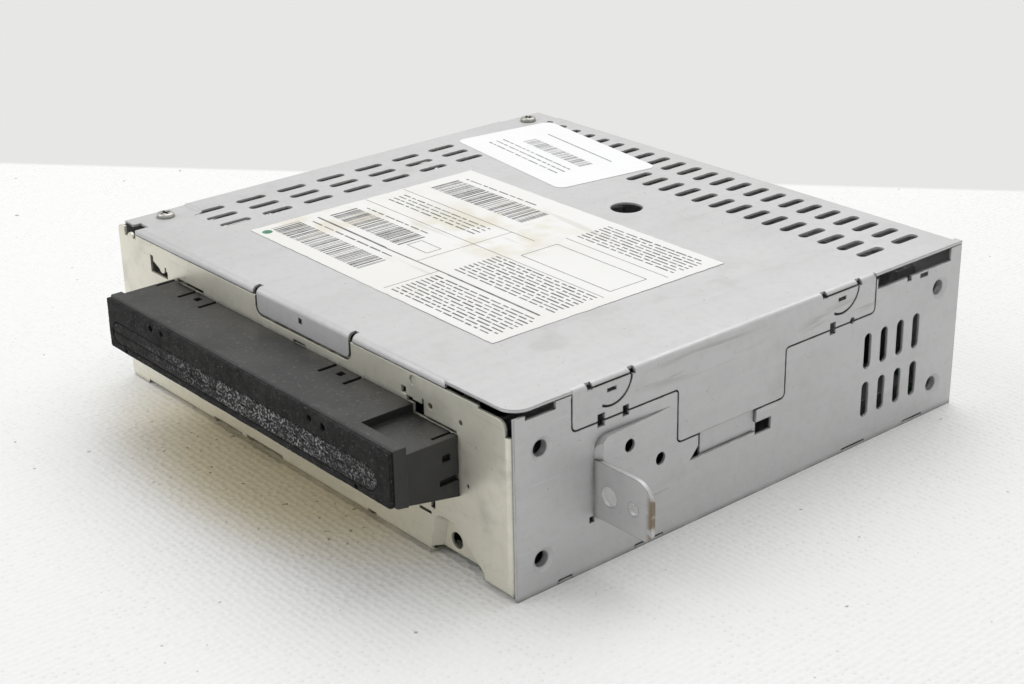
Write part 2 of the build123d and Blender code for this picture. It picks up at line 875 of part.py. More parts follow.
def make_rear_panel():
    """The rear wall, bent forwards at both ends to lie against the side walls."""
    front = half_d - rear_flange
    outer = block(-inner_x, inner_x, front, half_d, 0, wall_top)
    outer = fillet(outer.edges().filter_by(Axis.Z).sort_by(Axis.Y)[-2:], bend_radius)
    inner = block(-inner_x + sheet, inner_x - sheet, front - sheet, inner_y, -sheet, case_height)
    inner = fillet(inner.edges().filter_by(Axis.Z).sort_by(Axis.Y)[-2:], bend_radius - sheet)
    panel = outer - inner
    low = bottom_flange_height + seam_gap
    panel -= block(-half_w, half_w, front - sheet, inner_y, -sheet, low)
    rear_top = case_height - rear_lip_height - front_top_gap
    panel -= block(-rear_lip_half - seam_gap, rear_lip_half + seam_gap, inner_y - sheet, half_d + sheet,
                   rear_top, case_height)
    windows = Sketch() + [socket_window(main_socket), socket_window(aux_socket)]
    return panel - along_y(windows, inner_y - sheet, half_d + sheet)


# Front plate: a shallow pan with a joggled pocket behind the cover's tab
def make_front_plate():
    side = inner_x - front_side_gap
    back = -half_d + front_flange_depth
    high = case_height + front_flange_depth

    def pan(inset):
        body = block(-side + inset, side - inset, -half_d + inset, back + inset, inset, high)
        edges = body.edges().filter_by(Axis.Z).sort_by(Axis.Y)[:2]
        low = edges_at(body, Axis.Z, inset).filter_by(Axis.X).sort_by(Axis.Y)[:1]
        return fillet(edges + low, front_bend_radius - inset)

    plate = pan(0) - pan(sheet)
    reach = 3.0
    shoulder = side - front_shoulder_inset
    keep = rectangle(-shoulder, shoulder, -reach, front_top - front_step_drop, front_shoulder_radius)
    keep += rectangle(-shoulder, half_w - front_step_inset, -reach, front_top)
    keep += rectangle(-side, side, -2 * reach, front_flange_top)
    plate = plate & along_y(keep, -half_d - reach, back)
    # The left end of the face reaches over the wall's front edge.
    wing_high = case_height - wing_drop
    wing = rectangle(-half_w + fit_gap, lip_left - seam_gap, 0, wing_high, wing_round)
    plate += along_y(wing, -half_d, -half_d + sheet)
    # The side flanges are cut away round the wall's funnelled holes.
    cuts = []
    for y, z in side_hole_places():
        cuts.append(rod_along_x(-half_w, half_w, y, z, funnel_radius + sheet + funnel_relief))
    # The pocket behind the tab, pressed inwards.
    pocket = rectangle(tab_left - pocket_gap, tab_right + pocket_gap,
                       case_height - tab_height - pocket_gap, front_top + tab_corner, tab_corner + pocket_gap)
    around = rectangle(tab_left - pocket_gap - sheet, tab_right + pocket_gap + sheet,
                       case_height - tab_height - pocket_gap - sheet, front_top + tab_corner,
                       tab_corner + pocket_gap)
    below = rectangle(-half_w, half_w, 0, front_top)
    floor_y = -half_d + sheet + pocket_floor_gap
    plate += along_y(Sketch() + (around & below), -half_d + fit_gap, floor_y + sheet)
    cuts.append(along_y(pocket, -half_d - reach, floor_y))
    # The arched boss at the lower right, pressed inwards with a sloping left side.
    arch = outline((boss_left, 0), (boss_left + boss_lean, boss_top), (boss_flat, boss_top),
                   (boss_right, boss_shoulder), (boss_right, 0))
    arch = fillet(arch.vertices().sort_by(Axis.Y)[-3:], boss_round)
    behind = Plane.XZ.offset(half_d) * arch
    outer = extrude(behind, -(boss_depth + sheet), taper=boss_taper / 2)
    inner = extrude(Pos(0, -fit_gap, 0) * behind, -(boss_depth + fit_gap), taper=boss_taper)
    plate += outer
    cuts.append(inner)
    cuts.append(rod_along_y(boss_hole_x, -half_d - reach, back, boss_hole_z, boss_hole_radius))
    cuts.append(rod_along_y(boss_pin_x, -half_d - reach, back, boss_hole_z, boss_pin_radius))
    cuts.append(block(boss_cut_left, boss_right, -half_d - reach, back + reach, -reach, boss_cut_height))
    holes = [tail_outline(fit_gap)]
    hx0, hx1 = hook_hole_x
    hz0, hz1 = hook_hole_z
    tongue_left, tongue_right = hook_tongue_x
    hook = rectangle(hx0, hx0 + hook_bar, hz0, hz1)
    hook += outline((hx0, hz0), (hx1, hz0), (hx1, hz0 + hook_floor), (tongue_left, hz0 + hook_floor),
                    (hx0 + hook_bar, hz1 - hook_bar), (hx0, hz1 - hook_bar))
    hook += rectangle(tongue_right, tongue_right + hook_slit_wide, hz0, hz0 + hook_slit_high)
    hook -= rectangle(tongue_left, tongue_right, hz0 + hook_floor - hook_tongue_drop, hz1,
                      (tongue_right - tongue_left) / 2 - fit_gap)
    holes.append(hook)
    notch_left, notch_right = [-half_w + inset for inset in wing_notch_insets]
    notch_low = wing_high - wing_notch_depth
    notch = rectangle(notch_left, notch_right, notch_low, wing_high + reach)
    holes.append(notch - Pos((notch_left + notch_right) / 2, notch_low) * Circle(wing_hook_radius))
    for x0, x1, rise in edge_notches:
        holes.append(rectangle(x0, x1, bezel_high, bezel_high + rise))
    recess_high = bezel_high - recess_drop
    for x0, x1, rise in recess_notches:
        holes.append(rectangle(x0, x1, recess_high, recess_high + rise))
    slit = recess_notches[0][1]
    holes.append(rectangle(slit - lug_slit_width, slit, recess_high, bezel_high + lug_slit_high))
    holes.append(Pos(square_hole_x, square_hole_z) * Rectangle(square_hole_size, square_hole_size))
    for x, z, r in small_holes:
        holes.append(Pos(x, z) * Circle(r))
    for x0, x1, z0, z1 in (clip_slot, clip_bar):
        holes.append(rectangle(x0, x1, z0, z1))
    for x0, x1, height in bottom_cuts:
        cuts.append(block(x0, x1, -half_d - reach, back + fit_gap, -reach, height))
    cuts.append(along_y(Sketch() + holes, -half_d - reach, -half_d + front_bend_radius))
    dimple = Pos(dimple_x, -half_d, dimple_z) * Sphere(dimple_radius)
    cuts.append(dimple & block(dimple_x - reach, dimple_x + reach, -half_d - reach, -half_d + sheet / 2,
                               dimple_z - reach, dimple_z + reach))
    return plate - cuts


# Bottom cover: a plate with short side flanges, hook lugs and board standoffs
def make_bottom_cover():
    side = inner_x - fit_gap
    front = -half_d + front_flange_depth + fit_gap
    rear = inner_y - fit_gap
    plate = block(-side, side, front, rear, 0, sheet)
    plate = fillet(plate.edges().filter_by(Axis.Z).sort_by(Axis.Y)[-2:], bend_radius)
    wall = block(side - sheet, side, front + bend_radius, rear - bend_radius, 0, bottom_flange_height)
    lugs = []
    for y0, y1 in lug_spans_y:
        lugs.append(block(side - sheet, half_w, y0, y1, 0, sheet))
    plate += both_sides(Part() + [wall] + lugs)
    for x, y in board_screw_places():
        post = rod_along_z(x, y, 0, board_low, standoff_radius)
        post -= rod_along_z(x, y, sheet, board_low + sheet, standoff_bore)
        plate += post
    return plate


def board_screw_places():
    return [(mech_x + side * board_screw_x, y) for side in (-1, 1) for y in board_screw_y]


# Slot bezel: the black snout that the disc goes in through
def tail_outline(grow):
    """The tail that passes through the front plate, or its window when grown by a clearance."""
    return rectangle(throat_left - tail_wall - grow, throat_right + tail_wall + grow,
                     slot_low - tail_high_wall - grow, slot_high + tail_high_wall + grow, slot_height / 2)


def make_bezel():
    reach = 2.0
    lip_y = bezel_front + bezel_lip
    side = outline((bezel_front, bezel_chin), (bezel_front, bezel_high), (plate_y, bezel_high),
                   (plate_y, bezel_low))
    body = along_x(side, bezel_body_left, bezel_body_right)
    lip = along_x(side, bezel_left, bezel_right)
    body += lip & block(bezel_left, bezel_right, bezel_front, lip_y, bezel_low, bezel_high)
    body = fillet(edges_at(body, Axis.Y, bezel_front), bezel_edge)
    body += along_y(tail_outline(0), plate_y - fit_gap, plate_y + throat_tail)
    throat = rectangle(throat_left, throat_right, slot_low, slot_high, slot_height / 2 - fit_gap)
    cuts = [along_y(throat, bezel_front - reach, plate_y + throat_tail + reach)]
    # The lowered field at the right-hand end of the top.
    cuts.append(block(recess_left, bezel_body_right + reach, lip_y, plate_y + fit_gap,
                      bezel_high - recess_drop, bezel_high + reach))
    # Slits and square holes of the snap lugs beside the plate.
    deep = bezel_high - snap_depth
    back = plate_y + fit_gap
    for x in snap_centres_x:
        for side_x in (x - snap_slit_half_pitch, x + snap_slit_half_pitch):
            cuts.append(block(side_x - snap_slit_wide / 2, side_x + snap_slit_wide / 2,
                              plate_y - snap_slit_run,
                              back, deep, bezel_high + reach))
        cuts.append(block(x - snap_hole_size / 2, x + snap_hole_size / 2,
                          plate_y - snap_hole_back - snap_hole_size / 2,
                          plate_y - snap_hole_back + snap_hole_size / 2, deep, bezel_high + reach))
    for x in end_slit_x:
        low = deep - (recess_drop if x > 0 else 0)
        cuts.append(block(x - end_slit_wide / 2, x + end_slit_wide / 2, plate_y - snap_slit_run,
                          back, low, bezel_high + reach))
    outside = bezel_body_right + reach
    side_hole_z = slot_z + side_hole_over_slot
    side_slot_z = slot_z - side_slot_under_slot
    cuts.append(block(bezel_body_right - snap_depth, outside, side_hole_y - side_hole_long / 2,
                      side_hole_y + side_hole_long / 2, side_hole_z - side_hole_high / 2,
                      side_hole_z + side_hole_high / 2))
    cuts.append(block(bezel_body_right - snap_depth, outside, plate_y - side_slot_long, back,
                      side_slot_z - side_slot_high / 2, side_slot_z + side_slot_high / 2))
    return body - cuts


def make_gasket():
    front = bezel_front - gasket_thickness
    face = rectangle(bezel_left + gasket_inset, bezel_right - gasket_inset, bezel_chin + gasket_inset,
                     bezel_high - gasket_inset, bezel_edge)
    face -= rectangle(slot_left, slot_right, slot_low, slot_high, slot_height / 2 - fit_gap)
    face -= [Pos(x, slot_z + rise) * Circle(r) for x, rise, r in gasket_holes]
    return along_y(face, front, bezel_front)


def make_felt(upper):
    """One felt lip, from the gasket's rim to the middle line, with its slits."""
    y0 = bezel_front - gasket_thickness + felt_back
    rim = slot_height / 2 - fit_gap
    low, high = (felt_gap / 2, rim) if upper else (-rim, -felt_gap / 2)
    full = rectangle(slot_left + fit_gap, slot_right - fit_gap, slot_low + fit_gap, slot_high - fit_gap,
                     rim - fit_gap)
    half = rectangle(slot_left, slot_right, slot_z + low, slot_z + high)
    lip = along_y(Sketch() + (full & half), y0, y0 + felt_thickness)
    for x in felt_slits_x:
        z0, z1 = (low, low + felt_slit_height) if upper else (high - felt_slit_height, high)
        lip -= block(x - felt_slit_width / 2, x + felt_slit_width / 2, y0 - 1.0, y0 + felt_thickness + 1.0,
                     slot_z + z0 - (fit_gap if upper else 0), slot_z + z1 + (0 if upper else fit_gap))
    return lip


def make_labels():
    top = case_height
    width, depth = rating_size
    x0, y0 = rating_corner
    rating = Pos(x0, y0) * Rot(0, 0, rating_turn) * Pos(width / 2, depth / 2) * Rectangle(width, depth)
    rating -= Pos(view_hole_x, view_hole_y) * Circle(view_hole_radius)
    sx, sy = stock_centre
    stock = Pos(sx, sy) * Rot(0, 0, stock_turn) * RectangleRounded(stock_size[0], stock_size[1], stock_corner)
    return along_z(rating, top, top + label_thickness), along_z(stock, top, top + label_thickness)


def cover_screws():
    screws = []
    for y in cover_screw_y:
        head = rod_along_z(cover_screw_x, y, pad_floor, pad_floor + cover_screw_head_high, cover_screw_head)
        head = fillet(edges_at(head, Axis.Z, pad_floor + cover_screw_head_high), cover_screw_head_high / 2)
        shank = rod_along_z(cover_screw_x, y, pad_floor - cover_screw_length, pad_floor, cover_screw_shank)
        top = pad_floor + cover_screw_head_high
        arm = cover_screw_head * 0.62
        slot = cover_screw_head * 0.16
        cross = block(cover_screw_x - arm, cover_screw_x + arm, y - slot, y + slot, top - slot * 2, top + 1)
        cross += block(cover_screw_x - slot, cover_screw_x + slot, y - arm, y + arm, top - slot * 2, top + 1)
        screws.append(head + shank - cross)
    return screws


# Rails, dampers and springs that carry the floating deck
def make_rail(side):
    x_out = rail_half
    rail = block(x_out - sheet, x_out, rail_front, rail_rear, sheet, rail_top)
    rail += block(x_out - rail_flange, x_out, rail_front, rail_rear, rail_top - sheet, rail_top)
    rail += block(x_out - sheet, x_out + rail_foot, rail_front, rail_rear, sheet, 2 * sheet)
    rail -= [rod_along_z(damper_x, y, 0, rail_top + sheet, damper_radius - metal) for y in damper_y]
    rail -= [rod_along_z(board_screw_x, y, rail_top - 2 * sheet, rail_top + sheet, rail_access_radius)
             for y in board_screw_y]
    if side < 0:
        rail = mirror(rail, about=Plane.YZ)
    return Pos(mech_x, 0, 0) * rail


def damper_places():
    return [(mech_x + side * damper_x, y) for side in (-1, 1) for y in damper_y]


def make_dampers():
    cups = []
    for x, y in damper_places():
        cup = rod_along_z(x, y, rail_top, rail_top + damper_height, damper_radius)
        cup += rod_along_z(x, y, rail_top - sheet, rail_top, damper_radius - metal - fit_gap)
        cup -= rod_along_z(x, y, rail_top + damper_floor, rail_top + damper_height + 1.0,
                           deck_pin_radius + damper_play)
        cups.append(cup)
    return cups


def spring_point(low, high, turn):
    """A point on the middle line of the spring's wire, after so many turns."""
    angle = 2 * math.pi * turn
    rise = (high - low) * turn / spring_turns
    return (spring_radius * math.cos(angle), spring_radius * math.sin(angle), rise)


def make_springs():
    """Coil springs, each one unbroken wire on arcs of a quarter turn."""
    low = rail_top + spring_wire + spring_end_gap
    high = deck_low - spring_wire - spring_end_gap
    arcs = []
    for k in range(4 * spring_turns):
        ends = [spring_point(low, high, (k + step) / 4) for step in (0, 0.5, 1)]
        arcs.append(ThreePointArc(*ends))
    path = Wire(arcs)
    section = Plane(origin=path @ 0, z_dir=path % 0) * Circle(spring_wire)
    coil = sweep(section, path=path)
    print("spring gap between turns", round((high - low) / spring_turns - 2 * spring_wire, 2))
    return [Pos(x, y, low) * coil for x, y in damper_places()]


# Floating deck
def make_deck():
    plate = block(-deck_half, deck_half, deck_front, deck_rear, deck_low, deck_top)
    left = outline((deck_front, deck_low), (deck_rear, deck_low), (deck_rear, deck_wall_low),
                   (gear_wall_rear, deck_wall_low), (gear_wall_rear, gear_wall_top),
                   (gear_wall_front, gear_wall_top),
                   (gear_wall_front, gear_wall_low), (deck_front, gear_wall_low))
    right = outline((deck_front, deck_low), (deck_rear, deck_low), (deck_rear, deck_wall_low),
                    (deck_wall_front_rear, deck_wall_low), (deck_wall_front_rear, deck_wall_front),
                    (deck_front, deck_wall_front))
    deck = plate + along_x(left, -deck_half, -deck_inner) + along_x(right, deck_inner, deck_half)
    deck += block(-deck_half, deck_half, deck_rear - metal, deck_rear, deck_low, deck_wall_low)
    # Blocks for the guide rods and the lead screw.
    for x in (-rod_x, rod_x, screw_x):
        deck += block(x - bearing_block, x + bearing_block, rod_front - bearing_block / 2,
                      rod_front + bearing_block,
                      deck_top, rod_z + bearing_block)
    # Ears and studs of the clamp arm.
    ear_top = turntable_top + disc_thickness + clamp_plate_high + clamp_gap * 10
    for side in (-1, 1):
        x0, x1 = sorted((side * ear_plate_half, side * (ear_plate_half - metal)))
        deck += block(x0, x1, clamp_pivot_y - bearing_block * 1.2, clamp_pivot_y + bearing_block * 1.2,
                      deck_top, ear_top)
        x2, x3 = sorted((side * (ear_plate_half - metal), side * (clamp_rear_half - 2 * metal)))
        deck += rod_along_x(x2, x3, clamp_pivot_y, clamp_pivot_z(), pivot_radius)
        # Studs of the roller arm.
        x4, x5 = sorted((side * deck_inner, side * (arm_half - 2 * metal)))
        deck += rod_along_x(x4, x5, arm_y, arm_z, pivot_radius)
    for x, y in ((-damper_x, damper_y[0]), (damper_x, damper_y[0]), (-damper_x, damper_y[1]),
                 (damper_x, damper_y[1])):
        deck += rod_along_z(x, y, deck_low - deck_pin_length, deck_low, deck_pin_radius)
    # Studs of the gears, outside the left wall.
    wide = 2 * gear_width + 3 * gear_side_gap
    iy, iz = idler_centre()
    ry, rz = reduction_centre()
    deck += rod_along_x(-deck_half - gear_width - 2 * gear_side_gap, -deck_half, iy, iz, stud_radius)
    deck += rod_along_x(-deck_half - wide, -deck_half, ry, rz, stud_radius)
    # Headed studs of the shift slider, outside the right wall.
    out = deck_half + slider_gap * 2 + metal
    for y in slider_studs_y:
        deck += rod_along_x(deck_half, out + metal, y, slider_stud_z, slider_stud_radius)
        deck += rod_along_x(out, out + metal, y, slider_stud_z, slider_head_radius)
    # Holes.
    cuts = [block(-sled_window_half, sled_window_half, sled_front, feed_motor_front - 2 * metal,
                  deck_low - metal, deck_top + fit_gap)]
    for x in (-rod_x, rod_x):
        cuts.append(rod_along_y(x, rod_front, deck_rear + metal, rod_z, rod_radius))
    cuts.append(rod_along_y(screw_x, 0, rod_front + bearing_block + metal, rod_z, screw_tip + running_gap))
    cuts.append(rod_along_y(screw_x, feed_motor_front - seam_gap, deck_rear + metal, rod_z,
                            feed_motor_radius))
    cuts.append(block(screw_x - feed_motor_radius, screw_x + feed_motor_radius, feed_motor_front - seam_gap,
                      deck_rear - metal, deck_low - metal, deck_top + fit_gap))
    for side in (-1, 1):
        x0, x1 = sorted((side * deck_inner, side * (arm_half - 2 * metal)))
        cuts.append(block(x0, x1, deck_front - metal, arm_y + arm_pivot_drop, deck_low - metal,
                          deck_top + fit_gap))
    my, mz = motor_centre()
    cuts.append(rod_along_x(-deck_half - metal, -deck_inner + metal, my, mz, motor_shaft * 2))
    return Pos(mech_x, 0, 0) * (deck - cuts)


# Gears
def involute(angle):
    return math.tan(angle) - angle


def gear_face(teeth, module, phase, bore):
    """A spur gear's flat outline, with one tooth centred at the phase angle in degrees."""
    pressure = math.radians(20.0)
    pitch_r = teeth * module / 2
    base_r = pitch_r * math.cos(pressure)
    tip_r = pitch_r + 0.85 * module
    root_r = pitch_r - 1.2 * module
    half = math.pi / (2 * teeth) - gear_backlash / (2 * pitch_r)
    start = max(base_r, root_r)
    radii = [start + (tip_r - start) * k / 3 for k in range(4)]
    flank = [(root_r,
              half + involute(pressure) - involute(math.acos(base_r / start)))] if root_r < start else []
    for r in radii:
        flank.append((r, half + involute(pressure) - involute(math.acos(min(1.0, base_r / r)))))
    points = []
    for k in range(teeth):
        middle = math.radians(phase) + 2 * math.pi * k / teeth
        for r, a in flank:
            points.append((r * math.cos(middle - a), r * math.sin(middle - a)))
        for r, a in reversed(flank):
            points.append((r * math.cos(middle + a), r * math.sin(middle + a)))
    return outline(*points) - Circle(bore)


def gear_along_x(teeth, module, phase, bore, y, z, x0, x1):
    return along_x(Pos(y, z) * gear_face(teeth, module, phase, bore), x0, x1)


def idler_centre():
    """The idler stands where the roller arm's swing draws the roller gear straight away from it."""
    reach = (roller_teeth + idler_teeth) * gear_module / 2
    span = math.hypot(arm_pivot_back, arm_pivot_drop)
    return roller_y + reach * arm_pivot_drop / span, roller_z + reach * arm_pivot_back / span


def reduction_centre():
    iy, iz = idler_centre()
    return iy + (idler_teeth + pinion_teeth) * gear_module / 2, iz


def motor_centre():
    ry, rz = reduction_centre()
    reach = (wheel_teeth + motor_teeth) * wheel_module / 2
    turn = math.radians(motor_angle)
    return ry + reach * math.cos(turn), rz + reach * math.sin(turn)


def meshed_phase(teeth, phase, mate_teeth, module, direction):
    """The mate's phase, for a gear with a tooth at phase and its mate in the given direction, in degrees."""
    pitch = 360.0 / teeth
    offset_here = (phase - direction + pitch / 2) % pitch - pitch / 2
    arc = teeth * module / 2 * math.radians(offset_here)
    turn = (arc + math.pi * module / 2) / (mate_teeth * module / 2)
    return direction + 180.0 - math.degrees(turn)


def gear_phases():
    iy, iz = idler_centre()
    to_idler = math.degrees(math.atan2(iz - roller_z, iy - roller_y))
    roller_phase = to_idler
    idler_phase = meshed_phase(roller_teeth, roller_phase, idler_teeth, gear_module, to_idler)
    pinion_phase = meshed_phase(idler_teeth, idler_phase, pinion_teeth, gear_module, 0.0)
    motor_phase = meshed_phase(wheel_teeth, 0.0, motor_teeth, wheel_module, motor_angle)
    return roller_phase, idler_phase, pinion_phase, motor_phase


def make_gears():
    roller_phase, idler_phase, pinion_phase, motor_phase = gear_phases()
    near1 = mech_x - deck_half - gear_side_gap
    near0 = near1 - gear_width
    far1 = near0 - gear_side_gap / 2
    far0 = far1 - gear_width
    iy, iz = idler_centre()
    ry, rz = reduction_centre()
    my, mz = motor_centre()
    bore = stud_radius + running_gap
    roller_gear = gear_along_x(roller_teeth, gear_module, roller_phase, roller_shaft, roller_y, roller_z,
                               near0, near1)
    idler = gear_along_x(idler_teeth, gear_module, idler_phase, bore, iy, iz, near0, near1)
    reduction = gear_along_x(pinion_teeth, gear_module, pinion_phase, bore, ry, rz, near0, near1)
    reduction += gear_along_x(wheel_teeth, wheel_module, 0.0, bore, ry, rz, far0, far1)
    hub = rod_along_x(far1, near0, ry, rz, pinion_teeth * gear_module / 2 - gear_module)
    reduction += hub - rod_along_x(far1 - 1.0, near0 + 1.0, ry, rz, bore)
    pinion = gear_along_x(motor_teeth, wheel_module, motor_phase, motor_shaft / 2, my, mz, far0, far1)
    pinion += rod_along_x(far0, mech_x - deck_inner + 4 * metal, my, mz, motor_shaft)
    return roller_gear, idler, reduction, pinion


def make_loading_motor():
    my, mz = motor_centre()
    x0 = mech_x - deck_inner
    can = rod_along_x(x0, x0 + motor_length, my, mz, motor_radius)
    can = can & block(x0 - 1.0, x0 + motor_length + 1.0, my - motor_radius, my + motor_radius,
                      mz - motor_flat, mz + motor_flat)
    can += rod_along_x(x0 + motor_length - fit_gap, x0 + motor_length + 1.2, my, mz, motor_radius / 3)
    return can - rod_along_x(x0 - 1.0, x0 + 5 * metal, my, mz, motor_shaft + running_gap)


# Roller and its arm
def make_roller():
    shaft = rod_along_x(mech_x - deck_half - gear_side_gap - gear_width - fit_gap,
                        mech_x + arm_half + fit_gap * 3,
                        roller_y, roller_z, roller_shaft)
    sleeves = []
    length = roller_outer - roller_inner
    for side in (-1, 1):
        low, high = (roller_radius, roller_waist) if side < 0 else (roller_waist, roller_radius)
        middle = mech_x + side * (roller_outer + roller_inner) / 2
        sleeve = Pos(middle, roller_y, roller_z) * Rot(0, 90, 0) * Cone(low, high, length)
        sleeve -= rod_along_x(middle - length, middle + length, roller_y, roller_z, roller_shaft)
        sleeves.append(sleeve)
    return shaft, sleeves


def make_roller_arm():
    span = math.hypot(arm_pivot_back, arm_pivot_drop)
    tilt = math.degrees(math.atan2(arm_pivot_drop, -arm_pivot_back))
    middle = Pos((arm_y + roller_y) / 2, (arm_z + roller_z) / 2)
    strip = middle * SlotOverall(span + 2 * arm_round, 2 * arm_round, rotation=tilt)
    strip -= Pos(arm_y, arm_z) * Circle(pivot_radius + running_gap)
    strip -= Pos(roller_y, roller_z) * Circle(roller_shaft + running_gap)
    cheek = along_x(strip, arm_half - metal, arm_half)
    bar_z = arm_z + fit_gap * 4
    bar = block(-arm_half, arm_half, arm_y - arm_pivot_drop, arm_y - pivot_radius - metal / 2, bar_z,
                bar_z + sheet)
    return Pos(mech_x, 0, 0) * (both_sides(cheek) + bar)


# Upper disc guide and sensing levers
def lever_slot(side):
    """The curved slot that a lever's pin sweeps through."""
    wide = lever_pin_radius + lever_slot_gap
    ring = Circle(lever_reach + wide) - Circle(lever_reach - wide)
    a0 = math.radians(lever_rest_angle - 6.0)
    a1 = math.radians(lever_rest_angle + lever_travel + 6.0)
    far = 2 * lever_reach
    am = (a0 + a1) / 2
    sector = outline((0, 0), (far * math.cos(a0), far * math.sin(a0)),
                     (far * math.cos(am), far * math.sin(am)),
                     (far * math.cos(a1), far * math.sin(a1)))
    slot = Pos(lever_x, lever_y) * (ring & sector)
    if side < 0:
        slot = mirror(slot, about=Plane.YZ)
    return along_z(slot, guide_low - 1.0, guide_top + 1.0)


def make_guide():
    guide = block(-deck_inner, deck_inner, guide_front, guide_rear, guide_low, guide_top)
    front_low = guide.edges().filter_by(Axis.X).sort_by(Axis.Y)[:2].sort_by(Axis.Z)[0]
    guide = chamfer(front_low, guide_thickness / 2)
    for side in (-1, 1):
        guide -= lever_slot(side)
        guide += rod_along_z(side * lever_x, lever_y, guide_top, guide_top + 2.4 * metal, lever_stud)
    for y in (guide_front + 3 * metal, guide_rear - 3 * metal):
        guide += block(-lever_x + lever_reach, lever_x - lever_reach, y, y + metal, guide_top,
                       guide_top + 2 * metal)
    return Pos(mech_x, 0, 0) * guide


def make_lever(side):
    turn = math.radians(lever_rest_angle)
    tip = (lever_x + lever_reach * math.cos(turn), lever_y + lever_reach * math.sin(turn))
    z0 = guide_top + lever_gap
    middle = Pos((lever_x + tip[0]) / 2, (lever_y + tip[1]) / 2)
    strip = middle * SlotOverall(lever_reach + lever_width, lever_width, rotation=lever_rest_angle)
    strip -= Pos(lever_x, lever_y) * Circle(lever_bore)
    lever = along_z(strip, z0, z0 + metal)
    pin_low = slot_z - lever_pin_radius / 6
    lever += rod_along_z(tip[0], tip[1], pin_low, z0 + metal / 2, lever_pin_radius)
    if side < 0:
        lever = mirror(lever, about=Plane.YZ)
    return Pos(mech_x, 0, 0) * lever


# Spindle, turntable and clamp
def make_spindle_motor():
    top = deck_top + spindle_motor_height
    motor = rod_along_z(mech_x, disc_y, deck_top, top, spindle_motor_radius)
    motor = chamfer(edges_at(motor, Axis.Z, top), metal / 2)
    return motor - rod_along_z(mech_x, disc_y, deck_top + fit_gap * 2, top + 1.0, spindle_shaft + running_gap)


def make_turntable():
    low = deck_top + spindle_motor_height + turntable_gap
    table = rod_along_z(mech_x, disc_y, low, turntable_top, turntable_radius)
    groove = rod_along_z(mech_x, disc_y, turntable_top - fit_gap * 4, turntable_top + 1.0,
                         hub_radius + 2 * metal)
    groove -= rod_along_z(mech_x, disc_y, low, turntable_top + 2.0, hub_radius + metal)
    table -= groove
    table += Pos(mech_x, disc_y, turntable_top + hub_height / 2) * Cone(hub_radius, hub_top_radius,
                                                                        hub_height)
    return table + rod_along_z(mech_x, disc_y, deck_top + fit_gap * 4, low, spindle_shaft)


def clamp_pivot_z():
    return disc_top + clamp_plate_high + metal / 2


def lifted(part):
    """The clamp's pieces are drawn closed and turned up to their open rest."""
    about = Pos(0, clamp_pivot_y, clamp_pivot_z())
    return about * Rot(-clamp_lift, 0, 0) * Pos(0, -clamp_pivot_y, -clamp_pivot_z()) * part


def make_clamp_arm():
    z0 = disc_top + clamp_plate_high
    nose = disc_y - clamp_nose
    tail = clamp_pivot_y + bearing_block
    plan = outline((-clamp_front_half, nose), (clamp_front_half, nose),
                   (clamp_rear_half, clamp_pivot_y - clamp_taper_run),
                   (clamp_rear_half, tail), (-clamp_rear_half, tail),
                   (-clamp_rear_half, clamp_pivot_y - clamp_taper_run))
    corners = plan.vertices().sort_by(Axis.Y)[:2]
    plan = fillet(corners, clamp_front_half / 2)
    plan -= Pos(0, disc_y) * Circle(clamper_hole)
    plan -= Pos(0, (disc_y + clamp_pivot_y) / 2 + 2 * metal) * SlotOverall(*clamp_window, rotation=90)
    arm = along_z(plan, z0, z0 + metal)
    lug = rectangle(clamp_pivot_y - bearing_block, clamp_pivot_y + bearing_block, z0 - bearing_block,
                    z0 + metal + bearing_block)
    lug -= Pos(clamp_pivot_y, clamp_pivot_z()) * Circle(pivot_radius + running_gap)
    slot = block(-clamp_rear_half, clamp_rear_half, clamp_pivot_y - pivot_radius - metal, tail + metal,
                 z0 - metal, z0 + 2 * metal)
    keep = block(-clamp_rear_half + 3 * metal, clamp_rear_half - 3 * metal,
                 clamp_pivot_y - pivot_radius - 2 * metal,
                 tail + metal, z0 - metal, z0 + 2 * metal)
    arm -= slot - keep
    arm += both_sides(along_x(lug, clamp_rear_half - metal, clamp_rear_half))
    side = block(clamp_rear_half - 4 * metal, clamp_rear_half, clamp_pivot_y - bearing_block,
                 clamp_pivot_y - pivot_radius - 2 * fit_gap, z0, z0 + metal)
    arm += both_sides(side)
    return Pos(mech_x, 0, 0) * lifted(arm)


def make_clamper():
    low = disc_top + fit_gap
    plate0 = disc_top + clamp_plate_high
    body_top = plate0 - clamp_gap
    flange0 = plate0 + metal + clamp_gap
    body = rod_along_z(0, disc_y, low + clamper_pad_high, body_top, clamper_radius)
    body = chamfer(edges_at(body, Axis.Z, body_top), metal)
    body += rod_along_z(0, disc_y, body_top, flange0, clamper_neck)
    body += rod_along_z(0, disc_y, flange0, flange0 + metal, clamper_flange)
    body -= rod_along_z(0, disc_y, low, low + clamper_recess_deep, clamper_recess)
    pad = rod_along_z(0, disc_y, low, low + clamper_pad_high, clamper_radius - metal)
    pad -= rod_along_z(0, disc_y, low - 1.0, low + 2.0, clamper_pad_inner)
    return Pos(mech_x, 0, 0) * lifted(body), Pos(mech_x, 0, 0) * lifted(pad)


